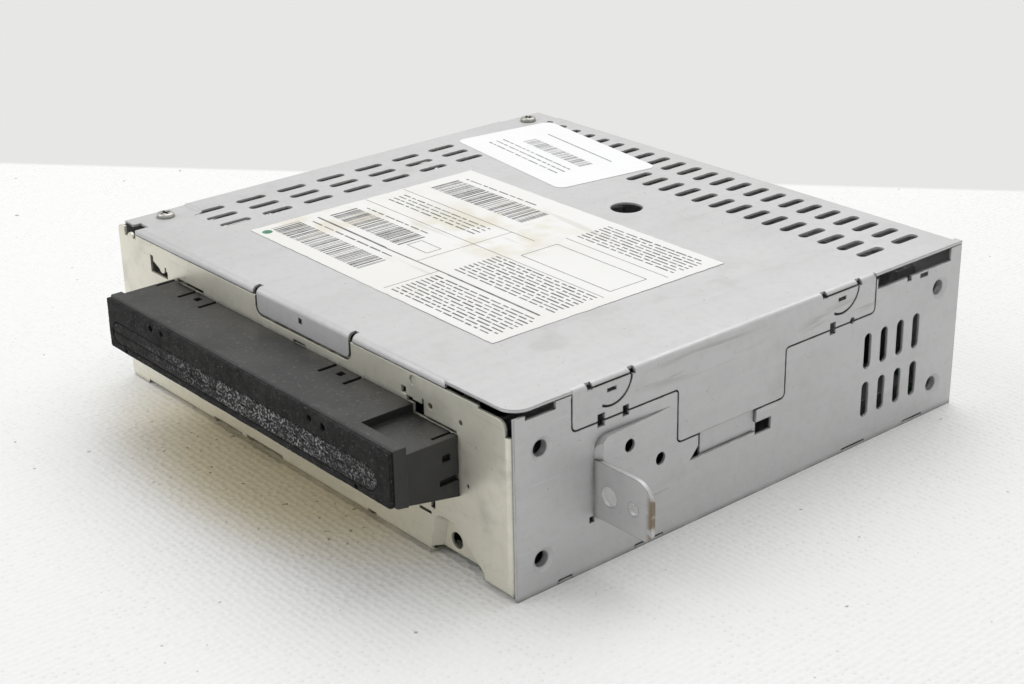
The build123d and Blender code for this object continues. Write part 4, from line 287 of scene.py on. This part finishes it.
# Finishes, one for each material slot of the record
finishLooks = {
    "case_steel": {
        "tone": (0.575, 0.576, 0.577), "shade": (0.545, 0.546, 0.546), "patch": 14.0,
        "grain": 1500.0, "grainStretch": (1.0, 0.22, 1.0), "rough": (0.40, 0.60), "bump": 0.30,
        "bumpDepth": 0.0001,
        "marks": [mottle, rolled, hairlines, crossLines, grime, specks, flangeRub, arcRub, earRust,
                  oldGlue],
        "edge": {"radius": 0.00045, "share": 0.75, "colour": (0.13, 0.125, 0.115)},
        # painted shade in crevices, slots and recesses
        "creviceShade": {"reach": 0.0034, "from": 0.72, "to": 0.40, "share": 0.9,
                 "colour": (0.035, 0.034, 0.032)},
        "shader": {"Metallic": 0.40, "IOR": 1.6},
    },
    "front_steel": {
        "tone": (0.80, 0.78, 0.67), "shade": (0.72, 0.70, 0.595), "patch": 22.0, "grain": 2200.0,
        "rough": (0.30, 0.42), "bump": 0.18, "bumpDepth": 0.0001,
        "marks": [{**mottle, "share": 0.1}, hairlines, {**grime, "share": 0.3}, specks],
        "edge": {"radius": 0.0004, "share": 0.6, "colour": (0.20, 0.19, 0.155)},
        # painted shade in crevices, slots and recesses
        "creviceShade": {"reach": 0.0030, "from": 0.70, "to": 0.40, "share": 0.85,
                 "colour": (0.05, 0.045, 0.034)},
        "shader": {"Metallic": 0.50, "IOR": 1.6},
    },
    "black_plastic": {
        "tone": (0.013, 0.013, 0.0133), "shade": (0.019, 0.019, 0.0192), "patch": 30.0,
        "grain": 3800.0, "rough": (0.42, 0.58), "bump": 0.35, "bumpDepth": 0.00012,
        "marks": [{**dustAndSheen, "share": 0.10},
                  {"scale": 40.0, "detail": 5.0, "from": 0.6, "to": 0.75, "share": 0.25,
                   "colour": (0.085, 0.083, 0.08)}],
        "edge": {"radius": 0.0003, "share": 0.6, "colour": (0.11, 0.11, 0.11)},
        "shader": {"IOR": 1.5},
    },
    "gasket_foam": {
        "tone": (0.006, 0.006, 0.006), "shade": (0.013, 0.0127, 0.0125), "patch": 140.0,
        "grain": 2400.0, "rough": (0.75, 0.95), "bump": 0.8, "bumpDepth": 0.0003,
        "marks": [{"scale": 700.0, "detail": 4.0, "from": 0.60, "to": 0.74, "share": 0.35,
                   "colour": (0.10, 0.097, 0.094)},
                  {"scale": 1700.0, "detail": 2.0, "from": 0.64, "to": 0.72, "share": 0.6,
                   "colour": (0.14, 0.135, 0.13)},
                  {"scale": 1500.0, "detail": 2.0, "from": 0.42, "to": 0.34, "share": 0.8,
                   "colour": (0.002, 0.002, 0.002)}],
        "shader": {"Specular IOR Level": 0.3},
    },
    "felt": {
        "tone": (0.010, 0.010, 0.010), "shade": (0.024, 0.0235, 0.023), "patch": 190.0,
        "grain": 3000.0, "rough": (0.85, 0.98), "bump": 0.7, "bumpDepth": 0.0003,
        "marks": [{"scale": 1500.0, "detail": 3.0, "from": 0.50, "to": 0.64, "share": 0.8,
                   "colour": (0.46, 0.46, 0.46),
                   "around": ((0.018, -0.1015, 0.0295), (0.070, 0.02, 0.006))},
                  {"scale": 1300.0, "detail": 3.0, "from": 0.58, "to": 0.68, "share": 0.16,
                   "colour": (0.22, 0.22, 0.22)},
                  {"scale": 170.0, "detail": 5.0, "from": 0.50, "to": 0.62, "share": 0.6,
                   "colour": (0.016, 0.016, 0.016)}],
        "shader": {"Sheen Weight": 0.05, "Sheen Roughness": 0.6, "Specular IOR Level": 0.3},
    },
    "label_film": {
        "tone": (0.88, 0.876, 0.86), "shade": (0.85, 0.843, 0.815), "patch": 30.0, "grain": 900.0,
        "rough": (0.38, 0.5), "bump": 0.06, "bumpDepth": 0.0001,
        "marks": [{"scale": 60.0, "detail": 6.0, "from": 0.44, "to": 0.60, "share": 0.55,
                   "colour": (0.70, 0.63, 0.45),
                   "around": ((-0.006, -0.008, 0.049), (0.034, 0.030, 0.03))},
                  {"scale": 70.0, "detail": 6.0, "from": 0.46, "to": 0.62, "share": 0.5,
                   "colour": (0.70, 0.63, 0.46),
                   "around": ((-0.046, -0.030, 0.049), (0.016, 0.040, 0.03))},
                  {"scale": 20.0, "stretch": (0.7, 7.0, 1.0), "turn": 0.3, "detail": 4.0,
                   "from": 0.66, "to": 0.70, "share": 0.35, "colour": (0.56, 0.52, 0.44)}],
    },
    "sticker_paper": {
        "tone": (0.985, 0.985, 0.99), "shade": (0.97, 0.97, 0.98), "patch": 40.0, "grain": 1200.0,
        "rough": (0.28, 0.36), "bump": 0.03, "bumpDepth": 0.0001,
        "shader": {"Coat Weight": 0.9, "Coat Roughness": 0.25},
    },
    "screw_steel": {
        "tone": (0.50, 0.49, 0.46), "shade": (0.38, 0.37, 0.34), "patch": 260.0, "grain": 2800.0,
        "rough": (0.26, 0.42), "bump": 0.15, "bumpDepth": 0.0001,
        "edge": {"radius": 0.0002, "share": 0.5, "colour": (0.74, 0.73, 0.70)},
        # painted shade round the screw heads and in their slots
        "creviceShade": {"reach": 0.0015, "from": 0.75, "to": 0.40, "share": 0.8,
                 "colour": (0.05, 0.048, 0.042)},
        "shader": {"Metallic": 0.9},
    },
    "inner_steel": {
        "tone": (0.52, 0.52, 0.52), "shade": (0.44, 0.44, 0.45), "patch": 24.0, "grain": 1500.0,
        "grainStretch": (0.06, 1.0, 1.0), "rough": (0.3, 0.44), "bump": 0.15, "bumpDepth": 0.0001,
        "marks": [hairlines, grime],
        "edge": {"radius": 0.0003, "share": 0.5, "colour": (0.76, 0.76, 0.76)},
        "shader": {"Metallic": 0.85},
    },
    "rubber": {
        "tone": (0.035, 0.035, 0.035), "shade": (0.055, 0.054, 0.052), "patch": 90.0,
        "grain": 3000.0, "rough": (0.6, 0.78), "bump": 0.3, "bumpDepth": 0.0001,
    },
    "roller_rubber": {
        "tone": (0.065, 0.065, 0.064), "shade": (0.10, 0.10, 0.097), "patch": 120.0,
        "grain": 2600.0, "grainStretch": (1.0, 0.2, 0.2), "rough": (0.6, 0.8), "bump": 0.4,
        "bumpDepth": 0.0001, "marks": [dustAndSheen],
    },
    "spring_steel": {
        "tone": (0.52, 0.52, 0.51), "shade": (0.42, 0.42, 0.41), "patch": 200.0, "grain": 2400.0,
        "rough": (0.22, 0.34), "bump": 0.1, "bumpDepth": 0.0001, "shader": {"Metallic": 1.0},
    },
    "board_green": {
        "tone": (0.012, 0.105, 0.040), "shade": (0.020, 0.150, 0.060), "patch": 60.0,
        "grain": 1800.0, "rough": (0.26, 0.38), "bump": 0.2, "bumpDepth": 0.0001,
        "marks": [{"scale": 120.0, "stretch": (1.0, 9.0, 1.0), "detail": 0.0, "from": 0.52,
                   "to": 0.54, "share": 0.7, "colour": (0.035, 0.21, 0.085)}],
        "shader": {"Coat Weight": 0.5, "Coat Roughness": 0.2},
    },
    "chip_black": {
        "tone": (0.022, 0.022, 0.023), "shade": (0.034, 0.034, 0.034), "patch": 90.0,
        "grain": 3600.0, "rough": (0.5, 0.64), "bump": 0.35, "bumpDepth": 0.0001,
        "edge": {"radius": 0.0002, "share": 0.4, "colour": (0.09, 0.09, 0.09)},
    },
    "capacitor_sleeve": {
        "tone": (0.020, 0.030, 0.085), "shade": (0.030, 0.042, 0.110), "patch": 120.0,
        "grain": 1500.0, "rough": (0.2, 0.3), "bump": 0.08, "bumpDepth": 0.0001,
    },
    "sink_aluminium": {
        "tone": (0.66, 0.66, 0.67), "shade": (0.57, 0.57, 0.58), "patch": 50.0, "grain": 1800.0,
        "grainStretch": (1.0, 1.0, 0.05), "rough": (0.32, 0.46), "bump": 0.3, "bumpDepth": 0.0001,
        "edge": {"radius": 0.00025, "share": 0.5, "colour": (0.86, 0.86, 0.86)},
        "shader": {"Metallic": 0.95},
    },
    "connector_plastic": {
        "tone": (0.045, 0.045, 0.046), "shade": (0.062, 0.062, 0.062), "patch": 60.0,
        "grain": 3200.0, "rough": (0.42, 0.56), "bump": 0.3, "bumpDepth": 0.0001, "marks": [dustAndSheen],
        "edge": {"radius": 0.0003, "share": 0.5, "colour": (0.14, 0.14, 0.14)},
    },
    "contact_tin": {
        "tone": (0.74, 0.73, 0.68), "shade": (0.62, 0.60, 0.54), "patch": 400.0, "grain": 3000.0,
        "rough": (0.18, 0.3), "bump": 0.1, "bumpDepth": 0.0001, "shader": {"Metallic": 1.0},
    },
    "white_plastic": {
        "tone": (0.74, 0.74, 0.71), "shade": (0.67, 0.67, 0.63), "patch": 80.0, "grain": 2600.0,
        "rough": (0.36, 0.48), "bump": 0.12, "bumpDepth": 0.0001,
        "marks": [{"scale": 160.0, "detail": 4.0, "from": 0.6, "to": 0.75, "share": 0.3,
                   "colour": (0.42, 0.40, 0.34)}],
        "shader": {"Subsurface Weight": 0.05},
    },
    "ribbon_film": {
        "tone": (0.60, 0.62, 0.66), "shade": (0.46, 0.48, 0.52), "patch": 90.0, "grain": 1400.0,
        "rough": (0.24, 0.34), "bump": 0.1, "bumpDepth": 0.0001,
        "marks": [{"scale": 260.0, "stretch": (4.0, 0.02, 0.02), "detail": 0.0, "from": 0.48,
                   "to": 0.52, "share": 0.8, "colour": (0.40, 0.30, 0.20)}],
    },
    "motor_steel": {
        "tone": (0.60, 0.60, 0.60), "shade": (0.50, 0.50, 0.50), "patch": 70.0, "grain": 2000.0,
        "grainStretch": (0.1, 1.0, 1.0), "rough": (0.2, 0.32), "bump": 0.12, "bumpDepth": 0.0001,
        "marks": [grime], "shader": {"Metallic": 0.95},
    },
    "turntable_plastic": {
        "tone": (0.045, 0.045, 0.048), "shade": (0.060, 0.060, 0.064), "patch": 90.0,
        "grain": 3000.0, "rough": (0.4, 0.52), "bump": 0.25, "bumpDepth": 0.0001, "marks": [dustAndSheen],
    },
    "sled_plastic": {
        "tone": (0.060, 0.060, 0.064), "shade": (0.080, 0.080, 0.084), "patch": 70.0,
        "grain": 2800.0, "rough": (0.45, 0.6), "bump": 0.3, "bumpDepth": 0.0001, "marks": [dustAndSheen],
    },
    "lens_glass": {
        "tone": (0.45, 0.52, 0.72), "shade": (0.52, 0.46, 0.70), "patch": 500.0, "grain": 900.0,
        "rough": (0.03, 0.08), "bump": 0.01, "bumpDepth": 0.0001,
        "shader": {"Transmission Weight": 0.6, "IOR": 1.55, "Coat Weight": 0.6,
                   "Coat Roughness": 0.04},
    },
}

finishes = {name: makeFinish(name + "_finish", look) for name, look in finishLooks.items()}
for part in nodes.values():
    slotName = part.material_slots[0].material.name.split(".")[0]
    for place in part.material_slots:
        place.material = finishes[slotName]
print("finishes on all nodes")


# Shared steps for new pieces
def addPiece(name, bm, slotName, body, material=None):
    bmesh.ops.recalc_face_normals(bm, faces=bm.faces)
    mesh = bpy.data.meshes.new(name)
    bm.to_mesh(mesh)
    bm.free()
    piece = bpy.data.objects.new(name, mesh)
    scene.collection.objects.link(piece)
    mesh.materials.append(material or finishes[slotName])
    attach(piece, body)
    return piece


def fineCopy(nodeName, voxel):
    # An even, closed mesh of a node, ready to be roughened.
    copied = bpy.data.objects.new("working", nodes[nodeName].data.copy())
    scene.collection.objects.link(copied)
    merge = bmesh.new()
    merge.from_mesh(copied.data)
    bmesh.ops.remove_doubles(merge, verts=merge.verts, dist=mergeWithin)
    merge.to_mesh(copied.data)
    merge.free()
    remesh = copied.modifiers.new("fine", "REMESH")
    remesh.mode = "VOXEL"
    remesh.voxel_size = voxel
    ready = copied.evaluated_get(bpy.context.evaluated_depsgraph_get())
    bm = bmesh.new()
    bm.from_mesh(ready.to_mesh())
    bpy.data.objects.remove(copied)
    return bm


# Foam seal round the slot: soft and pitted
foamLook = {
    "voxel": 0.00034, "soften": 0.5,
    "pits": 0.00013, "pitScale": 1700.0, "pitLevel": 0.1,
    "waves": 0.00012, "waveScale": 120.0, "waveLevel": 0.4,
}


def makeFoam(look):
    bm = fineCopy("slot_gasket", look["voxel"])
    bmesh.ops.smooth_vert(bm, verts=bm.verts, factor=look["soften"],
                          use_axis_x=True, use_axis_y=True, use_axis_z=True)
    bm.normal_update()
    for vert in bm.verts:
        pit = min(0.0, noise.noise(vert.co * look["pitScale"]) + look["pitLevel"])
        wave = noise.noise(vert.co * look["waveScale"]) - look["waveLevel"]
        vert.co += vert.normal * (pit * look["pits"] + wave * look["waves"])
    piece = addPiece("foam_seal", bm, "gasket_foam", "case")
    piece.data.shade_smooth()
    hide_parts("slot_gasket")


makeFoam(foamLook)
print("foam seal made")


# Felt lips with dusty fibres on their faces
feltLook = {
    "voxel": 0.00030, "nap": 0.00009, "napScale": 900.0,
    "tufts": 52, "fibres": 50, "lean": 0.36, "proud": 0.00004,
    "fibreLength": (0.0003, 0.0009), "fibreRadius": 0.00003, "fibreTip": 0.5, "fibreSides": 3,
}


def addTuft(bm, look, low, high, draw):
    tuft = bmesh.new()
    for count in range(look["fibres"]):
        across, upwards = draw.uniform(low.x, high.x), draw.uniform(low.z, high.z)
        spot = Vector((across, low.y - look["proud"], upwards))
        turn = Matrix.Rotation(draw.uniform(0, math.pi), 4, "Y")
        turn = turn @ Matrix.Rotation(draw.gauss(0, look["lean"]), 4, "X")
        bmesh.ops.create_cone(tuft, cap_ends=True, segments=look["fibreSides"],
                              radius1=look["fibreRadius"],
                              radius2=look["fibreRadius"] * look["fibreTip"],
                              depth=draw.uniform(*look["fibreLength"]),
                              matrix=Matrix.Translation(spot) @ turn)
    loose = bpy.data.meshes.new("tuft")
    tuft.to_mesh(loose)
    tuft.free()
    bm.from_mesh(loose)
    bpy.data.meshes.remove(loose)


def makeFelt(nodeName, name, look, seed):
    bm = fineCopy(nodeName, look["voxel"])
    bm.normal_update()
    for vert in bm.verts:
        vert.co += vert.normal * noise.noise(vert.co * look["napScale"]) * look["nap"]
    low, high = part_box(nodeName)
    draw = random.Random(seed)
    for tuft in range(look["tufts"]):
        addTuft(bm, look, low, high, draw)
    piece = addPiece(name, bm, "felt", "case")
    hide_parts(nodeName)


makeFelt("felt_lip_upper", "felt_upper", feltLook, seed=11)
makeFelt("felt_lip_lower", "felt_lower", feltLook, seed=12)
print("felt lips made")


# Springs: a merged copy of the suspension springs node
springLook = {"node": "suspension_springs", "travel": 0.00105}


def makeSprings(look):
    bm = bmesh.new()
    bm.from_mesh(nodes[look["node"]].data)
    bmesh.ops.remove_doubles(bm, verts=bm.verts, dist=mergeWithin)
    piece = addPiece("yielding_springs", bm, "spring_steel", "case")
    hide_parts(look["node"])
    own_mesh(piece)


makeSprings(springLook)
print("springs made")


# Inks for the ruled print
def makeInk(name, tone, wear):
    # Where the ink is worn it is paler by wear.
    look = {"tone": tone, "shade": tuple(t + wear for t in tone), "patch": 300.0, "grain": 2500.0,
            "rough": (0.4, 0.55), "bump": 0.05, "bumpDepth": 0.0001}
    return makeFinish(name, look)


blackInk = makeInk("ink_black", (0.055, 0.055, 0.058), wear=0.14)
greyInk = makeInk("ink_grey", (0.20, 0.20, 0.21), wear=0.12)
greenInk = makeInk("ink_green", (0.02, 0.20, 0.09), wear=0.04)


# Paper labels on the cover, with ruled lines, bars and frames
paperSet = {"cornerSteps": 6, "ragScale": 400, "ragSeed": 2, "ragAcross": 0.8}
printSet = {
    "depth": 0.00001, "cell": 0.003,
    "barWidths": (0.25, 0.25, 0.5, 0.75), "barGaps": (0.3, 0.3, 0.5, 0.8),
    "dashLengths": (1.2, 5.5), "dashWidths": (0.45, 0.62), "dashGaps": (0.5, 1.1),
    "lineEnd": 1.0, "frameWidth": 0.25,
}
ratingLook = {
    "name": "rating_sheet", "node": "rating_label", "slot": "label_film",
    "corner": (-0.0540, -0.0582), "size": (0.1095, 0.0805), "turn": -0.7, "round": 0.0,
    "cell": 0.0015, "ragged": 0.00035, "thick": 0.0001, "lift": 0.00012, "ripple": 28.0,
    "rules": [((4, 20.5), (38, 20.2), 0.7), ((38, 20.0), (66, 20.4), 0.5),
              ((66, 20.3), (104, 20), 0.65), ((0.5, 40), (106, 40), 0.22),
              ((0.5, 54), (62, 54), 0.22), ((62, 2), (62, 20), 0.2), ((52, 20), (52, 54), 0.2),
              ((66, 62), (107, 62), 0.22)],
    "frames": [(40, 26, 49, 31), (68, 44, 104, 57)],
    "bars": [(3, 5, 46, 14.5), (5, 24, 38, 33.5), (5, 61, 48, 71.5)],
    "dashes": [((64, 3, 106, 17.5), 1.6), ((64, 24, 105, 38.5), 1.6), ((67, 64, 106, 77), 1.65),
               ((5, 44, 46, 51), 1.9), ((6, 17.2, 46, 17.4), 1.0), ((7, 35.6, 38, 35.8), 1.0),
               ((6, 73.5, 40, 74), 1.0)],
    "dot": {"middle": (4.5, 2.8), "radius": 1.5, "sides": 24},
}
stockLook = {
    "name": "stock_sheet", "node": "stock_sticker", "slot": "sticker_paper",
    "corner": (-0.0807, 0.0388), "size": (0.0605, 0.0365), "turn": -8.0, "round": 0.003,
    "cell": 0.003, "ragged": 0.0, "thick": 0.0001, "lift": 0.00006, "ripple": 20.0,
    "rules": [((12, 28), (48, 28), 0.5)],
    "frames": [],
    "bars": [(14, 17, 46, 22)],
    "dashes": [((8, 6, 48, 13), 2.6)],
}


def paperRise(spot, look):
    # The noise runs from -1 to 1, the paper from lying flat to its full lift.
    ripple = noise.noise(Vector((spot.x * look["ripple"], spot.y * look["ripple"], look["turn"])))
    return look["lift"] * (0.5 + 0.5 * ripple)


def laidDown(look):
    corner = Matrix.Translation((*look["corner"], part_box(look["node"])[0].z))
    return corner @ Matrix.Rotation(math.radians(look["turn"]), 4, "Z")


def thicken(bm, depth):
    skin = bmesh.ops.extrude_face_region(bm, geom=bm.faces[:])
    raised = [item for item in skin["geom"] if isinstance(item, bmesh.types.BMVert)]
    bmesh.ops.translate(bm, vec=(0, 0, depth), verts=raised)


def cutInCells(bm, axis, length, cell):
    steps = int(length / cell)
    for k in range(1, steps):
        spot, across = [0, 0, 0], [0, 0, 0]
        spot[axis] = k * length / steps
        across[axis] = 1
        bmesh.ops.bisect_plane(bm, geom=bm.verts[:] + bm.edges[:] + bm.faces[:],
                               plane_co=spot, plane_no=across)


def makePaper(look):
    bm = bmesh.new()
    width, depth = look["size"]
    bmesh.ops.create_grid(bm, x_segments=1, y_segments=1, size=0.5)
    bmesh.ops.scale(bm, vec=(width, depth, 1), verts=bm.verts)
    bmesh.ops.translate(bm, vec=(width / 2, depth / 2, 0), verts=bm.verts)
    if look["round"]:
        bmesh.ops.bevel(bm, geom=bm.verts[:], offset=look["round"], affect="VERTICES",
                        segments=paperSet["cornerSteps"], profile=0.5, material=-1)
    cutInCells(bm, 0, width, look["cell"])
    cutInCells(bm, 1, depth, look["cell"])
    rim = {vert for edge in bm.edges if edge.is_boundary for vert in edge.verts}
    scale = paperSet["ragScale"]
    for vert in bm.verts:
        if vert in rim:
            torn = noise.noise(Vector((vert.co.x * scale, vert.co.y * scale, paperSet["ragSeed"])))
            vert.co.x += torn * look["ragged"]
            vert.co.y += torn * look["ragged"] * paperSet["ragAcross"]
        vert.co.z = paperRise(vert.co, look) + look["thick"]
    thicken(bm, -look["thick"])
    bmesh.ops.transform(bm, matrix=laidDown(look), verts=bm.verts)
    piece = addPiece(look["name"], bm, look["slot"], "case")
    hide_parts(look["node"])


def addStroke(bm, start, end, width):
    way = Vector(end) - Vector(start)
    cells = max(1, int(way.length / printSet["cell"]))
    middle = (Vector(start) + Vector(end)) / 2
    place = Matrix.Translation((middle.x, middle.y, 0))
    place = place @ Matrix.Rotation(math.atan2(way.y, way.x), 4, "Z")
    place = place @ Matrix.Diagonal((way.length, width, 1, 1))
    bmesh.ops.create_grid(bm, x_segments=cells, y_segments=1, size=0.5, matrix=place)


def inMetres(values):
    return [value * mm for value in values]


def addBars(bm, block, draw):
    left, low, right, high = inMetres(block)
    while left < right:
        width = draw.choice(printSet["barWidths"]) * mm
        addStroke(bm, (left + width / 2, low), (left + width / 2, high), width)
        left += width + draw.choice(printSet["barGaps"]) * mm


def addDashes(bm, block, pitch, draw):
    left, low, right, line = inMetres(block)
    while line > low:
        start = left
        while start < right - printSet["lineEnd"] * mm:
            length = min(draw.uniform(*printSet["dashLengths"]) * mm, right - start)
            width = draw.uniform(*printSet["dashWidths"]) * mm
            addStroke(bm, (start, line), (start + length, line), width)
            start += length + draw.uniform(*printSet["dashGaps"]) * mm
        line -= pitch * mm


def addFrame(bm, block):
    left, low, right, high = inMetres(block)
    corners = [(left, low), (right, low), (right, high), (left, high)]
    for start, end in zip(corners, corners[1:] + corners[:1]):
        addStroke(bm, start, end, printSet["frameWidth"] * mm)


def finishPrint(name, bm, look, ink):
    for vert in bm.verts:
        vert.co.z = paperRise(vert.co, look) + look["thick"] + printSet["depth"]
    thicken(bm, printSet["depth"])
    bmesh.ops.transform(bm, matrix=laidDown(look), verts=bm.verts)
    addPiece(name, bm, look["slot"], "case", ink)


def makePrint(name, look, ink, seed):
    draw = random.Random(seed)
    bars = bmesh.new()
    for block in look["bars"]:
        addBars(bars, block, draw)
    finishPrint(name + "_bars", bars, look, ink)
    lines = bmesh.new()
    for start, end, width in look["rules"]:
        addStroke(lines, inMetres(start), inMetres(end), width * mm)
    for block in look["frames"]:
        addFrame(lines, block)
    for block, pitch in look["dashes"]:
        addDashes(lines, block, pitch, draw)
    finishPrint(name + "_lines", lines, look, ink)


def makeDot(name, look, ink):
    dot = bmesh.new()
    place = Matrix.Translation((*inMetres(look["dot"]["middle"]), 0))
    bmesh.ops.create_circle(dot, cap_ends=True, segments=look["dot"]["sides"],
                            radius=look["dot"]["radius"] * mm, matrix=place)
    finishPrint(name, dot, look, ink)


makePaper(ratingLook)
makePrint("rating_print", ratingLook, blackInk, seed=21)
makePaper(stockLook)
makePrint("stock_print", stockLook, greyInk, seed=22)
makeDot("rating_dot", ratingLook, greenInk)
print("labels made")


# Floor with a finely dimpled white sheet, and the pale wall behind it
stageLook = {
    "size": 6.0, "rough": 0.7, "floor": (0.945, 0.945, 0.94), "wall": (0.80, 0.80, 0.79),
    "edgeLeft": (0, 164), "edgeRight": (1023, 192), "edgeRange": (-0.001, 0.003),
    "cloud": {"scale": 7.0, "detail": 3.0, "darker": 0.97},
    # painted warm shade on the floor under the slot bezel
    "paintedWarmShade": {"pixel": (290, 465), "reach": (0.085, 0.045, 0.1), "share": 0.8,
             "colour": (0.68, 0.57, 0.32)},
    "soil": {"scale": 420.0, "detail": 3.0, "range": (0.66, 0.70, 0.0, 0.8),
             "colour": (0.13, 0.11, 0.075)},
    "fleck": {"scale": 260.0, "detail": 1.0, "range": (0.76, 0.80, 0.0, 0.7),
              "colour": (0.22, 0.21, 0.19)},
    "dimple": {"scale": 480.0, "uneven": 0.35, "strength": 0.7, "depth": 0.0006},
    # painted shade in the dimples' pits
    "pit": {"range": (0.30, 0.05, 0.0, 0.45), "colour": (0.66, 0.65, 0.63)},
    "pitGaps": {"scale": 30.0, "detail": 3.0, "range": (0.35, 0.65, 0.25, 1.0)},
}


def noiseShare(tree, place, look):
    return spread(tree, noiseOf(tree, place, look["scale"], look["detail"]), *look["range"])


def dimpledSheet(tree, place, look):
    # Its colour and bump: clouds, a painted warm shade under the slot bezel with soil in it,
    # flecks, and dimples with painted shade in their pits.
    cloud, paintedWarmShade, dimple = look["cloud"], look["paintedWarmShade"], look["dimple"]
    clouds = noiseOf(tree, place, cloud["scale"], cloud["detail"])
    darker = tuple(t * cloud["darker"] for t in look["floor"])
    colour = mixColour(tree, clouds, look["floor"], darker)
    # Painted warm shade: the floor is darker and browner round one spot under the slot bezel.
    near = nearTo(tree, place, tuple(onFloor(*paintedWarmShade["pixel"])), paintedWarmShade["reach"])
    share = calc(tree, "MULTIPLY", near, paintedWarmShade["share"])
    colour = mixColour(tree, share, colour, paintedWarmShade["colour"])
    share = calc(tree, "MULTIPLY", noiseShare(tree, place, look["soil"]), near)
    colour = mixColour(tree, share, colour, look["soil"]["colour"])
    share = noiseShare(tree, place, look["fleck"])
    colour = mixColour(tree, share, colour, look["fleck"]["colour"])
    links = {"Vector": place, "Scale": dimple["scale"], "Randomness": dimple["uneven"]}
    dimples = addNode(tree, "TexVoronoi", links).outputs["Distance"]
    # Painted shade in the dimples' pits: the colour darkens towards each dimple's hollow middle.
    pits = spread(tree, dimples, *look["pit"]["range"])
    share = calc(tree, "MULTIPLY", pits, noiseShare(tree, place, look["pitGaps"]))
    colour = mixColour(tree, share, colour, look["pit"]["colour"])
    links = {"Height": dimples, "Strength": dimple["strength"], "Distance": dimple["depth"]}
    return colour, addNode(tree, "Bump", links).outputs["Normal"]


def makeFloor(look):
    bm = bmesh.new()
    bmesh.ops.create_grid(bm, x_segments=1, y_segments=1, size=look["size"] / 2)
    mesh = bpy.data.meshes.new("floor")
    bm.to_mesh(mesh)
    bm.free()
    floor = bpy.data.objects.new("floor", mesh)
    floor.location.z = cadLow.z
    scene.collection.objects.link(floor)
    material = bpy.data.materials.new("floor_sheet")
    material.use_nodes = True
    tree = material.node_tree
    shader = tree.nodes["Principled BSDF"]
    place = addNode(tree, "TexCoord").outputs["Object"]
    colour, bump = dimpledSheet(tree, place, look)
    tree.links.new(colour, shader.inputs["Base Color"])
    tree.links.new(bump, shader.inputs["Normal"])
    shader.inputs["Roughness"].default_value = look["rough"]
    # Past the table's far edge the same plane shows the wall's even tone.
    left, right = onFloor(*look["edgeLeft"]), onFloor(*look["edgeRight"])
    along = (right - left).normalized()
    away = Vector((-along.y, along.x, 0))
    limits = [left.dot(away) + step for step in look["edgeRange"]]
    past = spread(tree, vectorCalc(tree, "DOT_PRODUCT", place, away), *limits)
    seen = addNode(tree, "LightPath").outputs["Is Camera Ray"]
    wall = addNode(tree, "Emission", {"Color": look["wall"], "Strength": 1.0}).outputs[0]
    both = addNode(tree, "MixShader", {"Fac": calc(tree, "MULTIPLY", past, seen)})
    tree.links.new(shader.outputs[0], both.inputs[1])
    tree.links.new(wall, both.inputs[2])
    tree.links.new(both.outputs[0], tree.nodes["Material Output"].inputs["Surface"])
    mesh.materials.append(material)


# World: one grey for the light it gives, a paler one where it is seen or mirrored
worldLook = {"light": (0.49, 0.49, 0.49), "seen": (0.80, 0.80, 0.79)}


def makeWorld(look):
    world = bpy.data.worlds.new("studio")
    world.use_nodes = True
    tree = world.node_tree
    paths = addNode(tree, "LightPath")
    seen = paths.outputs["Is Camera Ray"]
    for way in ("Is Transmission Ray", "Is Glossy Ray"):
        seen = calc(tree, "MAXIMUM", seen, paths.outputs[way])
    colour = mixColour(tree, seen, look["light"], look["seen"])
    tree.links.new(colour, tree.nodes["Background"].inputs["Color"])
    scene.world = world


lampLooks = [
    {"name": "key", "place": (-0.25, 0.55, 1.30), "size": 1.4, "watts": 11.7},
    {"name": "fill", "place": (-0.7, -0.9, 0.9), "size": 1.0, "watts": 5.2},
]


def makeLamp(look):
    data = bpy.data.lights.new(look["name"], "AREA")
    data.shape = "SQUARE"
    data.size = look["size"]
    data.energy = look["watts"]
    lamp = bpy.data.objects.new(look["name"], data)
    lamp.location = look["place"]
    lamp.rotation_euler = (-Vector(look["place"])).to_track_quat("-Z", "Y").to_euler()
    scene.collection.objects.link(lamp)


makeFloor(stageLook)
makeWorld(worldLook)
for lampLook in lampLooks:
    makeLamp(lampLook)
print("stage and lamps made")
